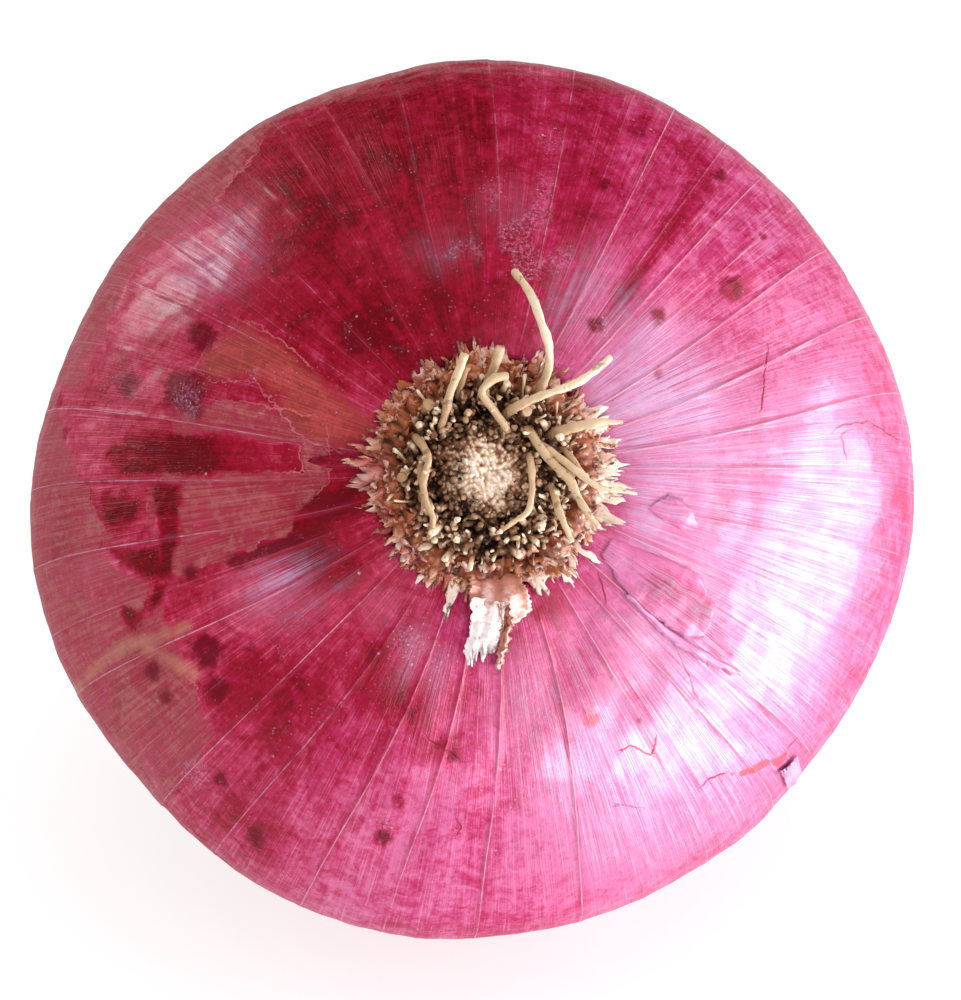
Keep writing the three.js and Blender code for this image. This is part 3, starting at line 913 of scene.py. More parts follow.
@dataclass
class Bulb:
    """The bulb's skin: where it lies, its relief and what is stored on it for its finish."""

    steps: tuple[float, ...] = (
        0.0, 0.035, 0.085, 0.165, 0.27, 0.385, 0.5, 0.615, 0.73, 0.835, 0.915, 0.965,
    )
    root_rows: int = 112
    shoulder_rows: int = 52
    waist_rows: int = 22

    def profile(self) -> np.ndarray:
        """Works out the skin's outline.

        Returns:
            Ring, height and share from the seat to the collar, one row for each ring of points.
        """
        turn = np.linspace(math.asin(SEAT_RADIUS / RADIUS), math.pi / 2, self.root_rows)
        ring = RADIUS * np.sin(turn)
        root = np.column_stack([ring, skin_height(ring), ring / RADIUS])
        turn = np.linspace(0, SHOULDER_TURN, self.shoulder_rows)[1:]
        ring = RADIUS * np.cos(turn)
        shoulder = np.column_stack([ring, -SHOULDER_HEIGHT * np.sin(turn), 2 - ring / RADIUS])
        r, y = shoulder[-1, :2]
        slope = SHOULDER_HEIGHT / RADIUS / math.tan(SHOULDER_TURN)
        a, b = np.array([r, y]), np.array([r - 7.5, y - 7.5 * slope])
        c, d = np.array([COLLAR_RADIUS + 0.5, COLLAR + 4]), np.array([COLLAR_RADIUS, COLLAR])
        t = np.linspace(0, 1, self.waist_rows)[1:, None]
        bend = (1 - t) ** 3 * a + 3 * t * (1 - t) ** 2 * b + 3 * t * t * (1 - t) * c + t**3 * d
        waist = np.column_stack([bend, 2 - bend[:, 0] / RADIUS])
        seat = [(0.5, SEAT, 0.0), (5.0, SEAT, 0.13), (8.0, SEAT, 0.21), (SEAT_RADIUS - 0.6, SEAT, 0.24)]
        return np.vstack([seat, root, shoulder, waist, [(4.0, COLLAR, 1.9), (0.5, COLLAR, 1.99)]])

    def angle_of(self, vein: np.ndarray, share: np.ndarray) -> np.ndarray:
        """Finds veins.

        Args:
            vein: the number of each vein, counted on past the last.
            share: the share at each.

        Returns:
            Their angles in degrees, with whole turns added past the last vein.
        """
        near = np.array([v.near for v in VEINS], float)
        far = np.array([v.far for v in VEINS], float)
        which = vein % len(VEINS)
        bent = smooth(share, 0.27, 1.0)
        return near[which] * (1 - bent) + far[which] * bent + 360.0 * (vein // len(VEINS))

    def surface(self, angle: np.ndarray, share: np.ndarray, lift: np.ndarray) -> np.ndarray:
        """Places points over the smooth skin of the root end.

        Args:
            angle: their angles in degrees.
            share: their shares.
            lift: their heights over it.

        Returns:
            The points, one row each.
        """
        turn = np.radians(angle)
        ring = RADIUS * np.asarray(share, float)
        height = skin_height(ring)
        out = np.clip(share, 0, 1) ** (FULLNESS - 1)
        up = (RADIUS / ROOT_HEIGHT) ** 0.5 * np.clip(height / ROOT_HEIGHT, 0, 1) ** (FULLNESS - 1)
        long = np.hypot(out, up)
        ring = ring * (1 + squareness(turn) * smooth(ring, SEAT_RADIUS, RADIUS)) + lift * out / long
        return around(turn, ring, height + lift * up / long)

    def relief(self, share: np.ndarray, part: np.ndarray, gap: np.ndarray, vein_mm: np.ndarray,
               strength: np.ndarray, at: np.ndarray, film: np.ndarray) -> np.ndarray:
        """How far the skin stands over its smooth shape.

        Args:
            share: the share of each point.
            part: how far it lies from one vein to the next.
            gap: the distance between those veins.
            vein_mm: its distance from the nearer one.
            strength: how strong that vein is.
            at: the point itself.
            film: its distance inside the edge of an outer film.

        Returns:
            Heights in millimetres.
        """
        open_skin = self.open_skin(share)
        calm = self.calm(share)
        ridge = 0.10 * strength * np.exp(-((vein_mm / 0.13) ** 2))
        ridge = ridge - 0.03 * strength * np.exp(-(((vein_mm - 0.45) / 0.22) ** 2))
        lobe = 0.035 * np.clip(gap / 5, 0.3, 1.3) * -np.cos(2 * math.pi * part)
        wrinkle = 0.05 * swell(at * np.array([1, 0.35, 1]), 2.6, 6) * smooth(share, 0.9, 1.25)
        step = 0.07 * smooth(film, -0.25, 0.25)
        return self.unevenness(share, at) + open_skin * (calm * (ridge + lobe) + wrinkle + step)

    @staticmethod
    def open_skin(share: np.ndarray) -> np.ndarray:
        """1 on the open skin, and 0 under the crown and at the collar."""
        return smooth(share, 0.27, 0.36) * smooth(share, 1.93, 1.6)

    @staticmethod
    def calm(share: np.ndarray) -> np.ndarray:
        """How much of the relief is left at a share: the shoulder is calmer."""
        return 1 - 0.75 * smooth(share, 0.80, 0.97) * smooth(share, 1.5, 1.2)

    def unevenness(self, share: np.ndarray, at: np.ndarray) -> np.ndarray:
        """Adds the skin's broad swells.

        Args:
            share: the share of each point.
            at: the point itself.

        Returns:
            Heights in millimetres.
        """
        calm = self.calm(share)
        broad = (0.14 + 0.20 * calm) * swell(at, 19.0, 3) + 0.13 * calm * swell(at, 7.0, 4)
        return self.open_skin(share) * (broad + 0.045 * swell(at, 2.6, 5))

    @staticmethod
    def chart(angle: np.ndarray, share: np.ndarray) -> np.ndarray:
        """Places on a flat chart of the skin, in millimetres."""
        turn = np.radians(angle)
        return RADIUS * np.asarray(share)[..., None] * np.stack([np.cos(turn), np.sin(turn)], -1)

    def run(self, marks: Sequence[tuple[float, float]], closed: bool) -> np.ndarray:
        """Lays a line on the chart.

        Args:
            marks: its angles and shares.
            closed: whether it comes back to its start.

        Returns:
            The chart's points along it, in short steps.
        """
        line = np.array(marks + (marks[:1] if closed else ()), float)
        parts = np.linspace(0, 1, 5)[:-1]
        fine = np.array([a + (b - a) * t for a, b in zip(line, line[1:]) for t in parts] + [line[-1]])
        return self.chart(fine[:, 0], fine[:, 1])

    def apart(self, at: np.ndarray, line: np.ndarray) -> tuple[np.ndarray, np.ndarray]:
        """Measures how far points are from a line.

        Args:
            at: the chart's points.
            line: the line's points.

        Returns:
            Their distances, and the side of the line that each is on, 1 or -1.
        """
        best = np.full(len(at), 1e9)
        side = np.ones(len(at))
        for a, b in zip(line, line[1:]):
            way = b - a
            t = np.clip(((at - a) @ way) / max(way @ way, 1e-9), 0, 1)
            off = at - (a + t[:, None] * way)
            far = np.hypot(off[:, 0], off[:, 1])
            nearer = far < best
            best[nearer] = far[nearer]
            side[nearer] = np.where(way[0] * off[nearer, 1] - way[1] * off[nearer, 0] >= 0, 1.0, -1.0)
        return best, side

    def inside(self, at: np.ndarray, marks: Sequence[tuple[float, float]]) -> np.ndarray:
        """Measures how far points are inside an outline.

        Args:
            at: the chart's points.
            marks: the outline's angles and shares.

        Returns:
            Their distances from it, below zero outside.
        """
        ring = self.run(marks, True)
        far, _ = self.apart(at, ring)
        crossings = np.zeros(len(at), int)
        for (ax, ay), (bx, by) in zip(ring, ring[1:]):
            spans = (ay > at[:, 1]) != (by > at[:, 1])
            with np.errstate(divide="ignore", invalid="ignore"):
                x = ax + (at[:, 1] - ay) * (bx - ax) / (by - ay)
            crossings += spans & (at[:, 0] < x)
        return np.where(crossings % 2 == 1, far, -far)

    @staticmethod
    def soft(angle: np.ndarray, share: np.ndarray, blots: Sequence[Sequence[float]]) -> np.ndarray:
        """Adds up soft blots.

        Args:
            angle: where it is wanted, in degrees.
            share: the shares there.
            blots: angle, share, two half widths and an amount of each blot.

        Returns:
            The sum of them at each place.
        """
        total = np.zeros(len(angle))
        for at_angle, at_share, wide, long, amount in blots:
            off = (angle - at_angle + 180) % 360 - 180
            total += amount * np.exp(-0.69 * ((off / wide) ** 2 + ((share - at_share) / long) ** 2) ** 1.3)
        return total

    def tones(self, angle: np.ndarray, share: np.ndarray) -> np.ndarray:
        """How dark the skin is at angles and shares."""
        return 0.36 + self.soft(angle, share, DEEPER) - self.soft(angle, share, PALER)

    @staticmethod
    def gloss(angle: np.ndarray, share: np.ndarray) -> np.ndarray:
        """How glossy the skin is at angles and shares: less on the shoulder, most of all on the left."""
        left = 0.5 - 0.5 * np.cos(np.radians(angle - 5))
        return 1 - (0.35 + 0.45 * left) * smooth(share, 0.84, 0.97) * smooth(share, 1.5, 1.2)

    def build(self) -> bpy.types.Object:
        """Returns the skin as a piece."""
        per = len(self.steps)
        columns = per * len(VEINS)
        line = self.profile()
        mesh = Workshop.spun(len(line), columns)
        row, column = Workshop.cells(mesh, columns)
        ring, height, share = line[row].T
        vein = column // per
        part = np.array(self.steps)[column % per]
        left, right = self.angle_of(vein, share), self.angle_of(vein + 1, share)
        angle = left + (right - left) * part
        turn = np.radians(angle)
        gap = np.radians(right - left) * ring
        vein_mm = np.minimum(part, 1 - part) * gap
        tones = np.random.default_rng(17).uniform(-1, 1, (len(VEINS), 6))
        shift = np.clip(share * 5.0 - 1.2, 0, 4.999)
        lower = shift.astype(int)
        sector = vein % len(VEINS)
        tone = tones[sector, lower] * (1 - shift % 1) + tones[sector, lower + 1] * (shift % 1)
        nearer = np.where(part < 0.5, vein, vein + 1) % len(VEINS)
        start = np.array([v.start for v in VEINS])[nearer]
        strength = np.array([v.strength for v in VEINS])[nearer] * smooth(share, start, start + 0.08)
        on_chart = self.chart(angle, share)
        film_mm = np.max([self.inside(on_chart, outline) for outline in FILMS], axis=0)
        window_mm = np.max([self.inside(on_chart, outline) for outline in WINDOWS], axis=0)
        film_mm = np.minimum(film_mm, -window_mm)
        dry_mm = np.minimum(self.inside(on_chart, DRY_PATCH), -self.inside(on_chart, DRY_HOLE))
        tear_mm = self.inside(on_chart, MATT_TEAR)

        slope = np.gradient(line[:, :2], axis=0)
        out = np.column_stack([-slope[:, 1], slope[:, 0]])
        out /= np.linalg.norm(out, axis=1)[:, None]
        out_ring, out_height = out[row].T
        wide = ring * (1 + squareness(turn) * smooth(ring, SEAT_RADIUS, RADIUS))
        at = around(turn, wide, height)
        lift = self.relief(share, part, gap, vein_mm, strength, at, np.maximum(film_mm, dry_mm))
        wide = wide + lift * out_ring
        Workshop.settle(mesh, around(turn, wide, height + lift * out_height))

        length = np.concatenate([[0.0], np.cumsum(np.hypot(*np.diff(line[:, :2], axis=0).T))])[row]
        crack, side = np.full(len(angle), 1e9), np.ones(len(angle))
        for marks in CRACKS:
            far, which = self.apart(on_chart, self.run(marks, False))
            side = np.where(far < crack, which, side)
            crack = np.minimum(far, crack)
        seams = [self.apart(on_chart, self.run(marks, False))[0] for marks in TAN_SEAMS]
        spot = np.zeros(len(angle))
        for at_angle, at_share, radius, amount in STAINS:
            off = on_chart - self.chart(np.array([at_angle]), np.array([at_share]))
            spot = np.maximum(spot, amount * np.exp(-0.69 * (np.hypot(*off.T) / radius) ** 2))
        window = smooth(window_mm, -0.1, 0.3) * smooth(share, 0.45, 0.64)
        tear = smooth(tear_mm, -0.2, 0.3)
        Workshop.store(
            mesh,
            flow=np.column_stack([RADIUS * np.cos(turn), RADIUS * np.sin(turn), length]),
            vein_mm=vein_mm, vein_on=strength,
            depth=self.tones(angle, share) + 0.07 * tone + 0.44 * window + 0.24 * tear,
            gloss=self.gloss(angle, share) * (1 - 0.85 * tear),
            warm=0.95 * smooth(-np.cos(np.radians(angle + 22)), -0.35, 0.75),
            film_on=smooth(share, 1.3, 0.98),
            # Painted sheen and highlight, then the dust and the stains.
            haze=self.soft(angle, share, PAINTED_SHEEN_PATCHES), dust=0.12 + self.soft(angle, share, DUSTY), spot=spot,
            film_mm=np.clip(film_mm, -5, 5), dry_mm=np.clip(dry_mm, -5, 5), tan_mm=np.min(seams, axis=0),
            crack_mm=np.clip(crack * side, -3, 3), crack_on=smooth(crack, 0.6, 0.3),
            split_mm=np.clip(np.max([self.inside(on_chart, outline) for outline in SPLITS], axis=0), -3, 3),
            papery=smooth(share, 1.45, 1.85),
        )
        return Workshop.piece("bulb_skin", mesh, "bulb", Slot.SKIN, SkinFinish().build())


@dataclass(frozen=True)
class Flake:
    """A lifted piece of outer film: rows of angle, share and lift at its free edge and at its held edge."""

    rows: tuple[tuple[float, float, float, float, float, float], ...]
    arch: float = 0.0
    depth: float = 0.25
    # How much of the painted sheen and highlight the flake's colour takes.
    haze: float = 0.3


FLAKES = (
    Flake(
        ((322.0, 0.3, 0.05, 331.0, 0.3, -0.05), (318.2, 0.38, 0.28, 332.0, 0.37, -0.05),
         (317.6, 0.45, 0.28, 333.0, 0.44, -0.05), (318.2, 0.52, 0.26, 333.0, 0.51, -0.05),
         (319.2, 0.56, 0.22, 331.0, 0.54, -0.05), (321.4, 0.59, 0.02, 329.0, 0.57, -0.05)),
        0.15, 0.0, 0.7,
    ),
    Flake(
        ((316.6, 0.4, 0.05, 317.8, 0.4, 0.05), (316.2, 0.52, 0.12, 318.0, 0.52, 0.12),
         (317.6, 0.62, 0.1, 319.6, 0.62, 0.1), (320.4, 0.71, 0.0, 321.0, 0.71, 0.0)),
        0.25, -0.15, 1.0,
    ),
    Flake(
        ((314.6, 0.925, 0.32, 314.5, 0.98, 0.32), (316.2, 0.933, 0.42, 315.9, 0.985, 0.34),
         (317.7, 0.935, 0.34, 317.3, 0.98, 0.32)),
        0.02, -0.4, 1.6,
    ),
    Flake(
        ((197.0, 0.42, -0.05, 194.6, 0.42, -0.05), (197.6, 0.48, 0.26, 194.2, 0.48, -0.05),
         (197.5, 0.53, 0.3, 194.2, 0.53, -0.05), (196.6, 0.6, -0.05, 195.2, 0.6, -0.05)),
        0.0, 0.3, 0.1,
    ),
    Flake(
        ((171.0, 0.28, 0.35, 176.0, 0.28, -0.05), (172.0, 0.34, 0.5, 176.2, 0.34, -0.05),
         (174.0, 0.395, -0.05, 175.2, 0.395, -0.05)),
        0.1, 0.25, 0.1,
    ),
    Flake(
        ((351.5, 0.385, 0.1, 345.5, 0.35, -0.05), (349.0, 0.43, 0.4, 343.0, 0.39, -0.05),
         (344.0, 0.47, 0.05, 342.0, 0.45, -0.05)),
        0.1, 0.05, 1.0,
    ),
)


@dataclass
class TornFilms:
    """Lifted pieces of the skin's outermost film."""

    bulb: Bulb
    across: int = 10
    along: int = 44

    def build(self, material: bpy.types.Material) -> bpy.types.Object:
        """Builds the lifted films.

        Args:
            material: the skin's own finish.

        Returns:
            One piece of them all.
        """
        chance = np.random.default_rng(23)
        bm = bmesh.new()
        for _ in FLAKES:
            bmesh.ops.create_grid(bm, x_segments=self.across, y_segments=self.along, size=1.0)
        mesh = Workshop.ended(bm, "films")
        at = Workshop.points(mesh)
        per = len(at) // len(FLAKES)
        values, fade = [], []
        for i, flake in enumerate(FLAKES):
            u, s = (at[i * per : (i + 1) * per, :2].T + 1) / 2
            rows = catmull(flake.rows, 12)
            row = np.stack([np.interp(s * (len(rows) - 1), range(len(rows)), column) for column in rows.T])
            nicks = chance.uniform(-1, 1, self.along + 1)[np.rint(s * self.along).astype(int)]
            waves = chance.uniform(-1, 1, self.across + 1)[np.rint(u * self.across).astype(int)]
            angle = row[0] + (row[3] - row[0]) * u + 0.45 * nicks * (1 - u) ** 4
            share = row[1] + (row[4] - row[1]) * u + 0.0012 * waves
            lift = row[2] + (row[5] - row[2]) * u**0.7 + flake.arch * 4 * u * (1 - u)
            fade.append(smooth(u, 1.0, 0.55))
            look = [np.full(per, flake.depth), np.full(per, flake.haze)]
            values.append(np.column_stack([angle, share, lift, *look]))
        angle, share, lift, depth, haze = np.concatenate(values).T
        place_in = np.concatenate(fade)
        lift = lift + self.bulb.unevenness(share, self.bulb.surface(angle, share, 0 * lift))
        place = self.bulb.surface(angle, share, lift)
        place += 0.07 * jitter(place, 1.6, 24)
        Workshop.settle(mesh, place)
        turn = np.radians(angle)
        plain = np.ones(len(angle))
        Workshop.store(
            mesh, flow=np.column_stack([RADIUS * np.cos(turn), RADIUS * np.sin(turn), RADIUS * share]),
            depth=self.bulb.tones(angle, share) + depth - 0.35 * (1 - place_in),
            # Painted sheen and highlight, weaker towards the flake's held edge.
            haze=haze * (0.4 + 0.6 * place_in), dust=0.2 * plain, gloss=plain, film_on=plain,
            film_mm=-5 * plain, dry_mm=-5 * plain, split_mm=-3 * plain,
            vein_mm=3 * plain, crack_mm=3 * plain, tan_mm=5 * plain,
        )
        made = Workshop.piece("torn_films", mesh, "bulb", Slot.SKIN, material)
        Crown.thicken(made, 0.10)
        return made


@dataclass
class RootPlate:
    """The granular plate in the middle of the root end, with broken stubs round it."""

    radius: float = 6.8
    dome: float = 1.5
    stubs: int = 640
    stub_steps: tuple[float, ...] = (0.0, 0.35, 0.6, 0.8, 0.95, 1.0)
    columns: int = 210
    rows: int = 74
    hollows: tuple[tuple[float, ...], ...] = (
        (250, 4.5, 34, 0.9, 1.0), (80, 5.0, 38, 1.0, 0.9), (165, 5.2, 30, 0.8, 0.7), (20, 4.8, 20, 0.8, 0.6),
    )

    def height(self, ring: np.ndarray) -> np.ndarray:
        """Height of the plate's smooth dome at a distance from the axis."""
        return RIM + 0.4 + self.dome * (1 - (np.asarray(ring) / self.radius) ** 2)

    def disc(self) -> bpy.types.Object:
        """Returns the granular dome as a piece."""
        mesh = Workshop.spun(self.rows + 4, self.columns)
        row, column = Workshop.cells(mesh, self.columns)
        turn = column / self.columns * 2 * math.pi
        rings = np.concatenate([np.linspace(0.06, self.radius, self.rows), [self.radius] * 2, [4.0, 0.3]])
        heights = np.concatenate([self.height(rings[: self.rows]), [RIM - 0.4] + [SEAT + GAP] * 3])
        ring, height = rings[row], heights[row]
        at = around(turn, ring, height)
        top = row < self.rows - 1
        grain = np.zeros(len(at))
        for i in np.nonzero(top)[0]:
            near = noise.voronoi(Vector(at[i]) * 3.1)[0]
            grain[i] = 0.55 - near[0] + 0.5 * (noise.voronoi(Vector(at[i]) * 1.3)[0][1] - 0.8)
        # Painted shade in the dark hollows of the plate.
        painted_hollow_shade = Bulb.soft(np.degrees(turn), ring, self.hollows)
        pit = smooth(ring, 2.4, 4.4) * (0.45 + 0.45 * swell(at, 2.4, 31)) + 0.5 * painted_hollow_shade
        uneven = 0.22 * swell(at, 2.0, 32) + 0.10 * swell(at, 0.8, 33)
        lift = np.where(top, 0.60 * grain + uneven - 0.60 * pit, 0.0)
        lift *= smooth(ring, self.radius + 0.1, self.radius - 0.9)
        at[:, 1] += lift
        cream = smooth(np.hypot(at[:, 0] + 0.8, at[:, 2] - 0.4), 3.7, 1.2)
        # Paler on the grains' tops and darker in the pits and hollows: painted highlight and shade, over the
        # plate's own colour and its cream middle.
        along = 0.40 + 0.75 * grain - 0.38 * pit + 0.45 * cream + 0.12 * swell(at, 0.7, 34)
        Workshop.settle(mesh, at)
        Workshop.store(mesh, along=along, tint=np.zeros(len(at)))
        return Workshop.piece("plate_disc", mesh, "root_plate", Slot.ROOT_TISSUE, PLATE.build())

    def broken_roots(self) -> bpy.types.Object:
        """Returns the short stubs as one piece."""
        chance = random.Random(21)
        runs = []
        for _ in range(self.stubs):
            angle = chance.uniform(0, 2 * math.pi)
            ring = self.radius * math.sqrt(chance.uniform(0.10, 1.0)) * 0.98
            long = chance.uniform(0.5, 2.0) * (1.1 if ring > 5 else 0.62)
            lean = chance.uniform(-0.2, 1.15)
            swing = chance.uniform(-1.4, 1.4)
            thick = chance.choice((0.10, 0.13, 0.16, 0.20, 0.27)) * chance.uniform(0.8, 1.2)
            foot = polar(angle, ring, float(self.height(ring)) - 0.9)
            way = polar(angle + swing, math.sin(lean), math.cos(lean))
            curl = Vector((chance.uniform(-1, 1), 0, chance.uniform(-1, 1))) * 0.35 * long
            points = [foot + way * (long + 0.7) * t + curl * t * t for t in self.stub_steps]
            radii = [thick * 1.2] + [thick * chance.uniform(0.65, 1.2) for _ in self.stub_steps[1:-1]]
            runs.append((np.array(points), radii + [thick * chance.uniform(0.2, 0.8)]))
        mesh = Workshop.tubes(runs, 1)
        at = Workshop.points(mesh)
        over = at[:, 1] - self.height(np.hypot(at[:, 0], at[:, 2]))
        at += 0.06 * jitter(at, 0.55, 41)
        Workshop.settle(mesh, at)
        # Darker low among the packed stubs, where it is painted shade, and paler towards their tips.
        along = np.clip(0.05 + 0.52 * over + 0.16 * swell(at, 0.6, 45), 0, 1.1)
        Workshop.store(mesh, along=along, tint=0.30 + 0.35 * swell(at, 1.3, 44))
        return Workshop.piece("root_stubs", mesh, "root_plate", Slot.ROOT_TISSUE, STUBS.build())


@dataclass(frozen=True)
class Route:
    """A long dried root: points to the right, down and over the rim, and its thickness."""

    name: str
    points: tuple[tuple[float, float, float], ...]
    radius: float = 0.42
    tip: float = 0.8


ROUTES = (
    Route(
        'arching',
        ((4.4, -6.6, 1.2), (5, -8, 3.4), (5, -9.8, 4.6), (4.4, -11.7, 5), (3.9, -13.5, 4.4),
         (3.2, -14.9, 3.8), (2.5, -16.0, 3.0)),
        0.43, 0.95,
    ),
    Route(
        'crossing',
        ((1.8, -4.8, 1.6), (3.2, -5.4, 3), (5.1, -6.0, 4.0), (6.8, -6.5, 4.3), (8.1, -7.2, 4.4),
         (9.3, -8.1, 4.4), (10.0, -8.7, 4.3)),
        0.42, 0.8,
    ),
    Route('broad', ((5.6, -3, 1.4), (7.4, -3.3, 2.9), (9.2, -3.5, 3.6), (10.8, -3.4, 3.8)), 0.52, 0.4),
    Route(
        'trailing',
        ((4, -2.2, 1.4), (5.6, -0.9, 2.4), (6.8, 0.2, 3.1), (8, 1.3, 3.6), (9, 1.8, 3.9), (10.3, 2.1, 4),
         (11.7, 2.4, 3.8)),
        0.36, 0.45,
    ),
    Route(
        'slanting',
        ((3.3, -3.2, 1.5), (4.5, -1.2, 2.2), (5.5, 0, 2.6), (6.4, 1, 2.8), (7.1, 2.6, 3.1),
         (7.8, 3.9, 3.4), (8.6, 5, 3.6)),
        0.44, 0.7,
    ),
    Route(
        'hooked',
        ((3.3, -1, 1.9), (3.4, 0.7, 2.5), (3.3, 2.2, 2.7), (2.9, 3.5, 2.7), (1.8, 4.2, 2.5),
         (0.7, 4.9, 1.9)),
        0.32, 0.7,
    ),
    Route('low', ((5, 1.5, 1.4), (5.4, 3.2, 2.3), (5.9, 4.7, 2.9), (6.4, 6, 3.1)), 0.4, 0.6),
    Route(
        'standing',
        ((-5.8, -2.9, 1.3), (-5.2, -2, 2.2), (-4.9, -0.9, 2.6), (-5.4, 0.9, 2.7), (-5.2, 2.4, 2.7),
         (-4.7, 3.8, 2.4), (-5.0, 5.3, 1.7)),
        0.38, 0.8,
    ),
    Route(
        'upper',
        ((-3.7, -3.7, 1.3), (-3.4, -4.7, 2.1), (-2.9, -6.5, 2.9), (-2.2, -8.1, 3.5), (-1.7, -9.4, 3.8)),
        0.42, 1.1,
    ),
    Route(
        'crooked',
        ((1.5, -3.4, 1.8), (0.4, -5, 2.4), (-0.4, -6.3, 2.9), (0.6, -7.3, 3.3), (1.7, -7.5, 3.2)), 0.4,
        1.1,
    ),
)
MORE_ROUTES = (
    Route('short_upper', ((0.2, -7.2, 1.2), (0.7, -8.4, 2.6), (1.2, -9.9, 3.4)), 0.45, 1.2),
    Route('split', ((-5.4, -1.2, 1.4), (-5.6, 0.4, 2.3), (-5.4, 1.8, 2.6), (-5.6, 3.4, 2.4)), 0.28, 0.7),
    Route('left_upper', ((-2.2, -6.4, 1.0), (-1.9, -7.5, 2.2), (-1.5, -8.4, 2.8)), 0.34, 1.0),
    Route('beside', ((6.1, -1.6, 1.2), (7.0, -0.2, 2.4), (7.7, 0.8, 2.9), (8.4, 1.7, 3.2)), 0.3, 0.6),
    Route('bead', ((-4.9, -5.2, 0.6), (-4.8, -5.4, 1.6), (-4.7, -5.5, 2.2)), 0.5, 1.15),
    Route('low_bead', ((-6.8, 0.1, 0.6), (-7.0, 0.2, 1.5), (-7.1, 0.3, 2.0)), 0.45, 1.1),
    Route('right_bead', ((3.0, -4.6, 0.8), (3.1, -4.7, 1.8), (3.2, -4.7, 2.4)), 0.45, 1.1),
)


@dataclass
class LongRoots:
    """The long dried roots that curl out of the plate over the crown."""

    steps: int = 7
    slender: float = 0.82

    def build(self) -> bpy.types.Object:
        """Returns the roots as one piece."""
        chance = random.Random(8)
        runs = []
        for route in ROUTES + MORE_ROUTES:
            right, down, over = route.points[0]
            foot = (right * 0.9, down * 0.9, over - 1.6)
            line = catmull((foot, *route.points), self.steps)
            share = np.linspace(0, 1, len(line))
            bumps = 1 + 0.10 * swell(line, 1.7, chance.randrange(999))
            taper = (1 + (route.tip - 1) * smooth(share, 0.55, 1.0)) * (1 + 0.25 * smooth(share, 0.3, 0.0))
            radii = self.slender * route.radius * bumps * taper
            radii[-1] *= 0.8
            runs.append((np.column_stack([line[:, 0], RIM + line[:, 2], line[:, 1]]), radii))
        mesh = Workshop.tubes(runs, 4)
        at = Workshop.points(mesh)
        at += 0.035 * jitter(at, 0.9, 51)
        Workshop.settle(mesh, at)
        # Darker low down by the crown and skin, where it is painted shade, and paler to the right: painted
        # light from the lamps on the right, over the roots' own tan.
        along = np.clip(0.20 + 0.15 * (at[:, 1] - RIM) + 0.014 * at[:, 0], 0, 1.0)
        Workshop.store(mesh, along=along, tint=0.25 + 0.25 * swell(at, 2.0, 54))
        return Workshop.piece("long_roots", mesh, "root_plate", Slot.ROOT_TISSUE, ROOTS.build())


@dataclass(frozen=True)
class ScaleRow:
    """One ring of torn scale bases."""

    count: int
    foot: float
    lean: float
    length: float
    wide: float


@dataclass(frozen=True)
class Shred:
    """A torn scale base: its angle, foot, lean, length, half width, blush and paleness, which on the shreds
    on the right and below is painted light.
    """

    angle: float
    foot: float
    lean: float
    length: float
    half: float
    tint: float
    pale: float = 0.0


SHREDS = tuple(
    Shred(*values)
    for values in (
        (174.5, 8.9, 1.4, 3.4, 0.55, 1.0), (168, 9.0, 1.36, 2.5, 0.4, 0.9),
        (181, 8.9, 1.36, 2.3, 0.5, 0.9), (251, 9.0, 1.42, 3.1, 0.42, 0.0, 0.75),
        (338, 8.6, 1.34, 3.2, 0.5, 0.1, 0.6), (345, 8.4, 1.3, 2.7, 0.55, 0.1, 0.55),
        (351, 8.8, 1.36, 3.0, 0.35, 0.1, 0.65), (2, 8.6, 1.32, 2.5, 0.6, 0.1, 0.55),
        (12, 8.8, 1.34, 2.2, 0.5, 0.1, 0.55), (26, 8.2, 1.18, 3.0, 1.1, 0.7, 0.55),
        (62, 8.4, 1.1, 2.7, 0.8, 0.6, 0.35), (305, 8.4, 1.36, 3.0, 0.6, 0.3, 0.6),
        (293, 8.6, 1.4, 2.6, 0.7, 0.4, 0.55), (318, 8.6, 1.4, 2.8, 0.35, 0.1, 0.8),
        (122, 8.5, 1.05, 2.2, 1.2, 0.8), (140, 8.4, 1.05, 2.3, 1.1, 0.6),
        (223, 8.8, 1.34, 2.2, 0.5, 0.8, 0.3), (236, 8.8, 1.36, 2.3, 0.4, 0.4, 0.45),
    )
)


@dataclass(frozen=True)
class Strip:
    """A part of the torn flap.

    Its rows hold ring, left edge, right edge and rise. Then come how ragged its end is, and its colour.
    """

    rows: tuple[tuple[float, float, float, float], ...]
    ragged: float
    along: tuple[float, float]
    tint: float


STRIPS = (
    Strip(
        ((8.3, -1.7, 2.0, 0.4), (9.2, -1.9, 2.5, 1.2), (10.6, -1.7, 3.0, 1.3), (11.6, -1.3, 2.7, 1.1),
         (12.4, -0.9, 1.6, 1.0)),
        0.9, (0.22, 0.6), 0.45,
    ),
    Strip(
        ((10.2, -1.7, 0.9, 1.0), (12.0, -1.9, 0.7, 1.5), (13.6, -2.1, 0.3, 1.2), (15.0, -2.5, -0.1, 0.8)),
        1.5, (0.95, 1.15), 0.0,
    ),
    Strip(
        ((10.6, 0.5, 1.4, 1.2), (12.5, 0.7, 1.4, 1.7), (14.5, 0.3, 0.95, 1.2), (15.9, 0.1, 0.55, 0.7)),
        0.3, (0.1, 0.42), 0.15,
    ),
)


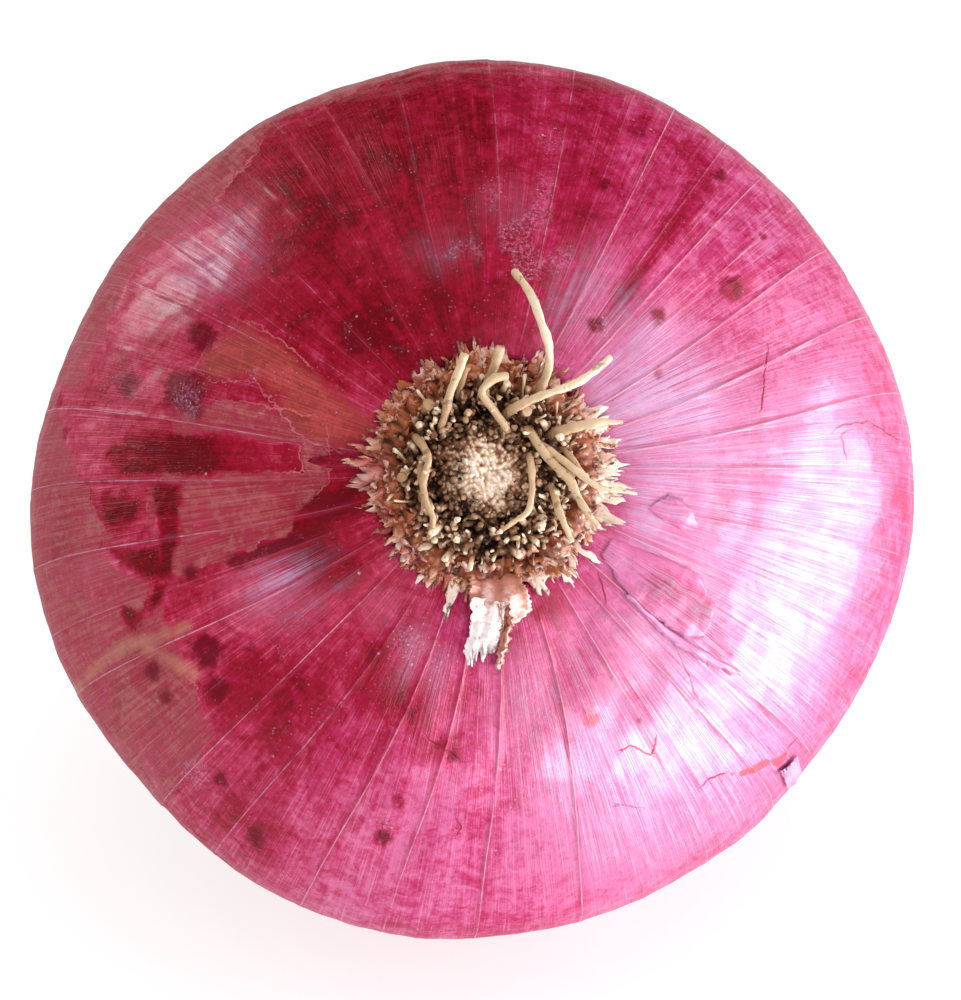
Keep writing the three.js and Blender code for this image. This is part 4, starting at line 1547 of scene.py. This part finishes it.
@dataclass
class Crown:
    """The ragged crown: rings of torn scale bases and the flap that hangs from it."""

    rows: tuple[ScaleRow, ...] = (
        ScaleRow(54, 8.7, 1.33, 1.5, 1.1), ScaleRow(50, 8.5, 1.05, 1.7, 1.3),
        ScaleRow(48, 8.2, 0.80, 1.7, 1.3), ScaleRow(46, 7.9, 0.52, 1.7, 1.3),
        ScaleRow(42, 7.5, 0.25, 1.6, 1.3), ScaleRow(38, 7.1, -0.05, 1.4, 1.3),
        ScaleRow(40, 8.9, 1.35, 1.9, 0.22),
    )
    across: int = 5
    along: int = 8

    def blade(self, bm: bmesh.types.BMesh, shred: Shred, chance: random.Random) -> None:
        """Adds one torn scale base to a mesh.

        Args:
            bm: the mesh.
            shred: the scale base.
            chance: where its unevenness is drawn from.
        """
        layer = bm.verts.layers.float["along"]
        tint_layer = bm.verts.layers.float["tint"]
        grid = bmesh.ops.create_grid(bm, x_segments=self.across, y_segments=self.along, size=1.0)
        angle = math.radians(shred.angle)
        ends = [chance.uniform(0.5, 1.2) for _ in range(self.across + 1)]
        notch = [chance.uniform(0.6, 1.25) for _ in range(self.along + 1)]
        curl, sway = chance.uniform(-0.6, 0.6), chance.uniform(-0.6, 0.6)
        keel = chance.uniform(-0.35, 0.85) * min(shred.half, 0.8)
        wave, phase = chance.uniform(3, 8), chance.uniform(0, 6)
        for vert in grid["verts"]:
            u, s = vert.co.x, (vert.co.y + 1) / 2
            column = int(round((u + 1) / 2 * self.across))
            reach = shred.length * s * (1 + (ends[column] - 1) * s)
            turn = shred.lean * (0.55 + 0.45 * s) + curl * s * s
            nick = 1 + (notch[int(round(s * self.along))] - 1) * s
            side = u * shred.half * (1 - 0.45 * s**1.6) * nick + sway * s * s
            fold = keel * (1 - abs(u)) * (1 - 0.4 * s) + 0.10 * math.sin(wave * u + 6 * s + phase)
            out = reach * math.sin(turn) - fold * math.cos(turn)
            up = reach * math.cos(turn) + fold * math.sin(turn)
            at = polar(angle, shred.foot + out, RIM - 0.5 + up)
            beyond = shred.foot + out
            floor = float(skin_height(math.hypot(beyond, side))) if beyond > SEAT_RADIUS - 0.8 else -99.0
            at.y = max(at.y, floor + 0.18)
            vert.co = at + polar(angle - math.pi / 2, side, 0)
            # Dark at the foot, where it is painted shade deep in the crown, and paler towards the tip; pale
            # adds the painted light on the right.
            vert[layer] = 0.05 + 0.54 * s + 0.9 * fold + shred.pale
            vert[tint_layer] = shred.tint * (1 - 0.45 * s)

    def scales(self) -> bpy.types.Object:
        """Returns the torn scale bases as one piece."""
        chance = random.Random(12)
        bm = bmesh.new()
        bm.verts.layers.float.new("along")
        bm.verts.layers.float.new("tint")
        for row in self.rows:
            for i in range(row.count):
                degrees = (i + chance.uniform(-0.45, 0.45)) / row.count * 360 % 360
                left = math.exp(-(((degrees - 195) / 48) ** 2))
                right = math.exp(-(((degrees + 180) % 360 - 165) ** 2) / 45**2)
                half = chance.uniform(0.5, 1.5) * row.wide * math.pi * row.foot / row.count
                length = row.length * chance.uniform(0.45, 1.35)
                tint = chance.uniform(0.1, 0.55) + 0.60 * left - 0.3 * right
                # Tips on the right are made paler: painted light where the lamps from the right fall, over
                # random paleness.
                pale = chance.uniform(-0.22, 0.16) + 0.50 * right * chance.uniform(0.5, 1.3)
                lean = row.lean * chance.uniform(0.7, 1.2)
                self.blade(bm, Shred(degrees, row.foot, lean, length, half, tint, pale), chance)
        for shred in SHREDS:
            self.blade(bm, shred, chance)
        mesh = Workshop.ended(bm, "crown")
        at = Workshop.points(mesh)
        Workshop.settle(mesh, at + (0.13 * jitter(at, 1.1, 64) + 0.05 * jitter(at, 0.45, 67)))
        made = Workshop.piece("crown_scales", mesh, "scale_crown", Slot.DRY_SCALE, CROWN.build())
        self.thicken(made, 0.15)
        return made

    @staticmethod
    def thicken(piece: bpy.types.Object, thickness_mm: float) -> None:
        """Gives a sheet its thickness.

        Args:
            piece: the sheet.
            thickness_mm: how thick it gets.
        """
        solid = piece.modifiers.new("thickness", "SOLIDIFY")
        solid.thickness = thickness_mm / 1000.0
        solid.offset = 0.0

    def ring(self) -> bpy.types.Object:
        """Returns the fibrous ring that the scale bases stand on."""
        columns = 240
        line = np.array([
            (6.9, SEAT + GAP), (8.6, SEAT + GAP), (8.95, RIM + 0.3), (8.5, RIM + 0.6), (7.8, RIM + 0.7),
            (7.2, RIM + 0.5), (6.9, SEAT + 2 * GAP),
        ])
        mesh = Workshop.spun(len(line), columns)
        row, column = Workshop.cells(mesh, columns)
        turn = column / columns * 2 * math.pi
        ring, height = line[row].T
        at = around(turn, ring, height)
        at[:, 1] += (0.35 * swell(at, 1.1, 61) + 0.15 * swell(at, 0.5, 64)) * (height > RIM)
        Workshop.settle(mesh, at)
        Workshop.store(mesh, along=0.26 + 0.30 * swell(at, 0.6, 62), tint=0.1 + 0.3 * swell(at, 4.0, 63))
        return Workshop.piece("crown_ring", mesh, "scale_crown", Slot.DRY_SCALE, CROWN.build())

    def flap(self) -> bpy.types.Object:
        """Returns the torn flap of dry scale that hangs from the crown."""
        wide, long = 18, 34
        chance = np.random.default_rng(5)
        bm = bmesh.new()
        along_layer = bm.verts.layers.float.new("along")
        tint_layer = bm.verts.layers.float.new("tint")
        for strip in STRIPS:
            grid = bmesh.ops.create_grid(bm, x_segments=wide, y_segments=long, size=1.0)
            rows = catmull(strip.rows, 10)
            ends = chance.uniform(-1, 0.4, wide + 1)
            nicks = chance.uniform(-1, 1, (2, long + 1))
            for vert in grid["verts"]:
                u, s = (vert.co.x + 1) / 2, (vert.co.y + 1) / 2
                column, step = int(round(u * wide)), int(round(s * long))
                ring, left, right, rise = rows[min(int(round(s * (len(rows) - 1))), len(rows) - 1)]
                left += 0.16 * nicks[0, step]
                right += 0.20 * nicks[1, step]
                ring += strip.ragged * ends[column] * s**4
                side = left + (right - left) * u
                fold = math.cos(17 * u + 3 * s)
                rise += 0.34 * math.cos(5.5 * u + 5 * s) + 0.14 * fold + 0.08 * math.cos(23 * s + 4 * u)
                floor = RIM if ring < SEAT_RADIUS else float(skin_height(math.hypot(ring, side)))
                vert.co = (side, floor + max(rise - 0.45 * s, 0.22), ring)
                vert[along_layer] = strip.along[0] + (strip.along[1] - strip.along[0]) * s + 0.12 * fold
                vert[tint_layer] = strip.tint * (1 - 0.4 * s)
        mesh = Workshop.ended(bm, "flap")
        at = Workshop.points(mesh)
        Workshop.settle(mesh, at + 0.06 * jitter(at, 0.8, 67))
        made = Workshop.piece("torn_flap", mesh, "scale_crown", Slot.DRY_SCALE, FLAP.build())
        self.thicken(made, 0.12)
        return made


@dataclass
class DryNeck:
    """The pleated, papery neck that ends in a torn edge on the table."""

    length: float = 17.0
    bend: float = 2.2
    pleats: int = 9
    columns: int = 216
    rows: int = 64

    def build(self) -> bpy.types.Object:
        """Returns the neck as a piece."""
        inner = 16
        mesh = Workshop.spun(self.rows + inner + 1, self.columns)
        row, column = Workshop.cells(mesh, self.columns)
        turn = column / self.columns * 2 * math.pi
        start = COLLAR - GAP
        share = np.clip((row - 1) / (self.rows - 1), 0, 1)
        waist = 1 - 0.42 * smooth(share, 0, 0.55) + 0.22 * share * share
        back = np.clip((row - self.rows) / inner, 0, 1)
        share = share - 0.5 * back
        ring = COLLAR_RADIUS * waist * (1 - 0.12 * smooth(back, 0, 0.15) - 0.75 * smooth(back, 0.3, 1.0))
        ring = np.where(row == 0, 0.4, ring)
        fold = np.cos(self.pleats * turn + 1.4 * share) + 0.5 * np.cos(4 * turn + 2)
        fine = np.cos(27 * turn + 3 * share) + 0.6 * np.cos(45 * turn + 5 * share + 1)
        teeth = 1.3 * np.cos(5 * turn) * np.cos(3 * turn + 1) + 0.7 * np.cos(19 * turn)
        torn = smooth(share, 0.75, 1.0) * (back < 0.05) * teeth
        ring = ring * (1 + 0.09 * fold * np.minimum(1, 0.3 + share) + 0.018 * fine)
        at = around(turn, ring, start - self.length * share + torn)
        at[:, 0] *= 1 + 0.25 * share
        at[:, 2] = at[:, 2] * (1 - 0.25 * share) + self.bend * share * share
        at += 0.12 * jitter(at, 3.0, 71) * smooth(share, 0, 0.3)[:, None]
        Workshop.settle(mesh, at)
        tint = 0.8 * smooth(share, 0.5, 0.0) + 0.1 * fold
        Workshop.store(mesh, along=0.2 + 0.6 * share + 0.12 * fine, tint=tint)
        return Workshop.piece("papery_neck", mesh, "neck", Slot.DRY_NECK, NECK.build())


class Glow(Enum):
    """What a lamp lights: only matt colour or only gloss."""

    MATT = "matt"
    GLOSS = "gloss"


@dataclass(frozen=True)
class Lamp:
    """A soft lamp: where it is, what it faces, its size, its power and what it lights."""

    name: str
    at: tuple[float, float, float]
    towards: tuple[float, float, float]
    wide: float
    high: float
    watts: float
    glow: Glow


@dataclass
class Studio:
    """The pale table, the lamps and the camera."""

    azimuth: float = -3.3
    elevation: float = 33.6
    distance: float = 0.45
    frame_mm: float = 83.0
    aim_mm: tuple[float, float] = (0.67, 0.0)
    world: float = 0.72
    lamps: tuple[Lamp, ...] = (
        Lamp("overhead", (0.05, -0.10, 0.75), (0.0, 0.0, 0.0), 0.7, 0.7, 2.5, Glow.MATT),
        Lamp("right_bounce", (0.150, -0.045, 0.004), (0.0, -0.01, 0.045), 0.15, 0.24, 0.20, Glow.MATT),
        Lamp("front_bounce", (0.085, -0.135, 0.004), (0.0, -0.02, 0.035), 0.16, 0.12, 0.20, Glow.MATT),
        Lamp("right_shine", (0.135, -0.035, 0.004), (0.0, -0.01, 0.045), 0.13, 0.20, 3.0, Glow.GLOSS),
        Lamp("front_shine", (0.062, -0.068, 0.002), (0.045, -0.050, 0.040), 0.10, 0.08, 1.5, Glow.GLOSS),
        Lamp("left_shine", (-0.20, 0.12, 0.145), (0.0, 0.0, 0.04), 0.07, 0.10, 0.55, Glow.GLOSS),
    )

    def build(self) -> None:
        """Sets up the table, the lamps, the world and the camera."""
        bm = bmesh.new()
        bmesh.ops.create_grid(bm, x_segments=8, y_segments=8, size=3.0)
        mesh = Workshop.ended(bm, "table")
        mesh.transform(Matrix.Translation((0, 0, -0.00005)))
        mesh.materials.append(FloorFinish().build())
        table = bpy.data.objects.new("table", mesh)
        bpy.context.scene.collection.objects.link(table)
        for lamp in self.lamps:
            self.light(lamp)
        world = bpy.data.worlds.new("studio")
        world.use_nodes = True
        world.node_tree.nodes["Background"].inputs["Color"].default_value = (1.0, 1.0, 1.0, 1.0)
        world.node_tree.nodes["Background"].inputs["Strength"].default_value = self.world
        world.cycles_visibility.glossy = False
        bpy.context.scene.world = world
        bpy.context.scene.view_settings.view_transform = "Standard"
        self.camera()

    @staticmethod
    def light(lamp: Lamp) -> None:
        """Adds one lamp.

        Args:
            lamp: the lamp.
        """
        data = bpy.data.lights.new(lamp.name, "AREA")
        data.shape = "RECTANGLE"
        data.size, data.size_y = lamp.wide, lamp.high
        data.energy = lamp.watts
        made = bpy.data.objects.new(lamp.name, data)
        made.location = lamp.at
        made.visible_glossy = lamp.glow != Glow.MATT
        made.visible_diffuse = lamp.glow != Glow.GLOSS
        made.visible_camera = False
        made.rotation_euler = (Vector(lamp.at) - Vector(lamp.towards)).to_track_quat("Z", "Y").to_euler()
        bpy.context.scene.collection.objects.link(made)

    def camera(self) -> None:
        """Adds the camera, which looks along the onion's axis at its root end."""
        data = bpy.data.cameras.new("camera")
        made = bpy.data.objects.new("camera", data)
        bpy.context.scene.collection.objects.link(made)
        bpy.context.scene.camera = made
        turn, rise = math.radians(self.azimuth), math.radians(self.elevation)
        back = Vector((math.sin(turn) * math.cos(rise), -math.cos(turn) * math.cos(rise), math.sin(rise)))
        facing = back.to_track_quat("Z", "Y")
        aim = CENTRE + facing @ Vector((self.aim_mm[0], self.aim_mm[1], 0.0)) / 1000.0
        made.location = aim + back * self.distance
        made.rotation_euler = facing.to_euler()
        data.sensor_fit = "HORIZONTAL"
        data.sensor_width = 36.0
        data.lens = 36.0 * self.distance / (self.frame_mm / 1000.0)
        data.clip_start = 0.01


def main() -> None:
    """Builds the onion and its studio in order."""
    logging.basicConfig(level=logging.INFO, format="%(name)s %(message)s")
    Studio().build()
    bulb = Bulb()
    TornFilms(bulb).build(bulb.build().data.materials[0])
    plate = RootPlate()
    plate.disc()
    plate.broken_roots()
    LongRoots().build()
    crown = Crown()
    crown.ring()
    crown.scales()
    crown.flap()
    DryNeck().build()


if __name__ == "__main__":
    main()
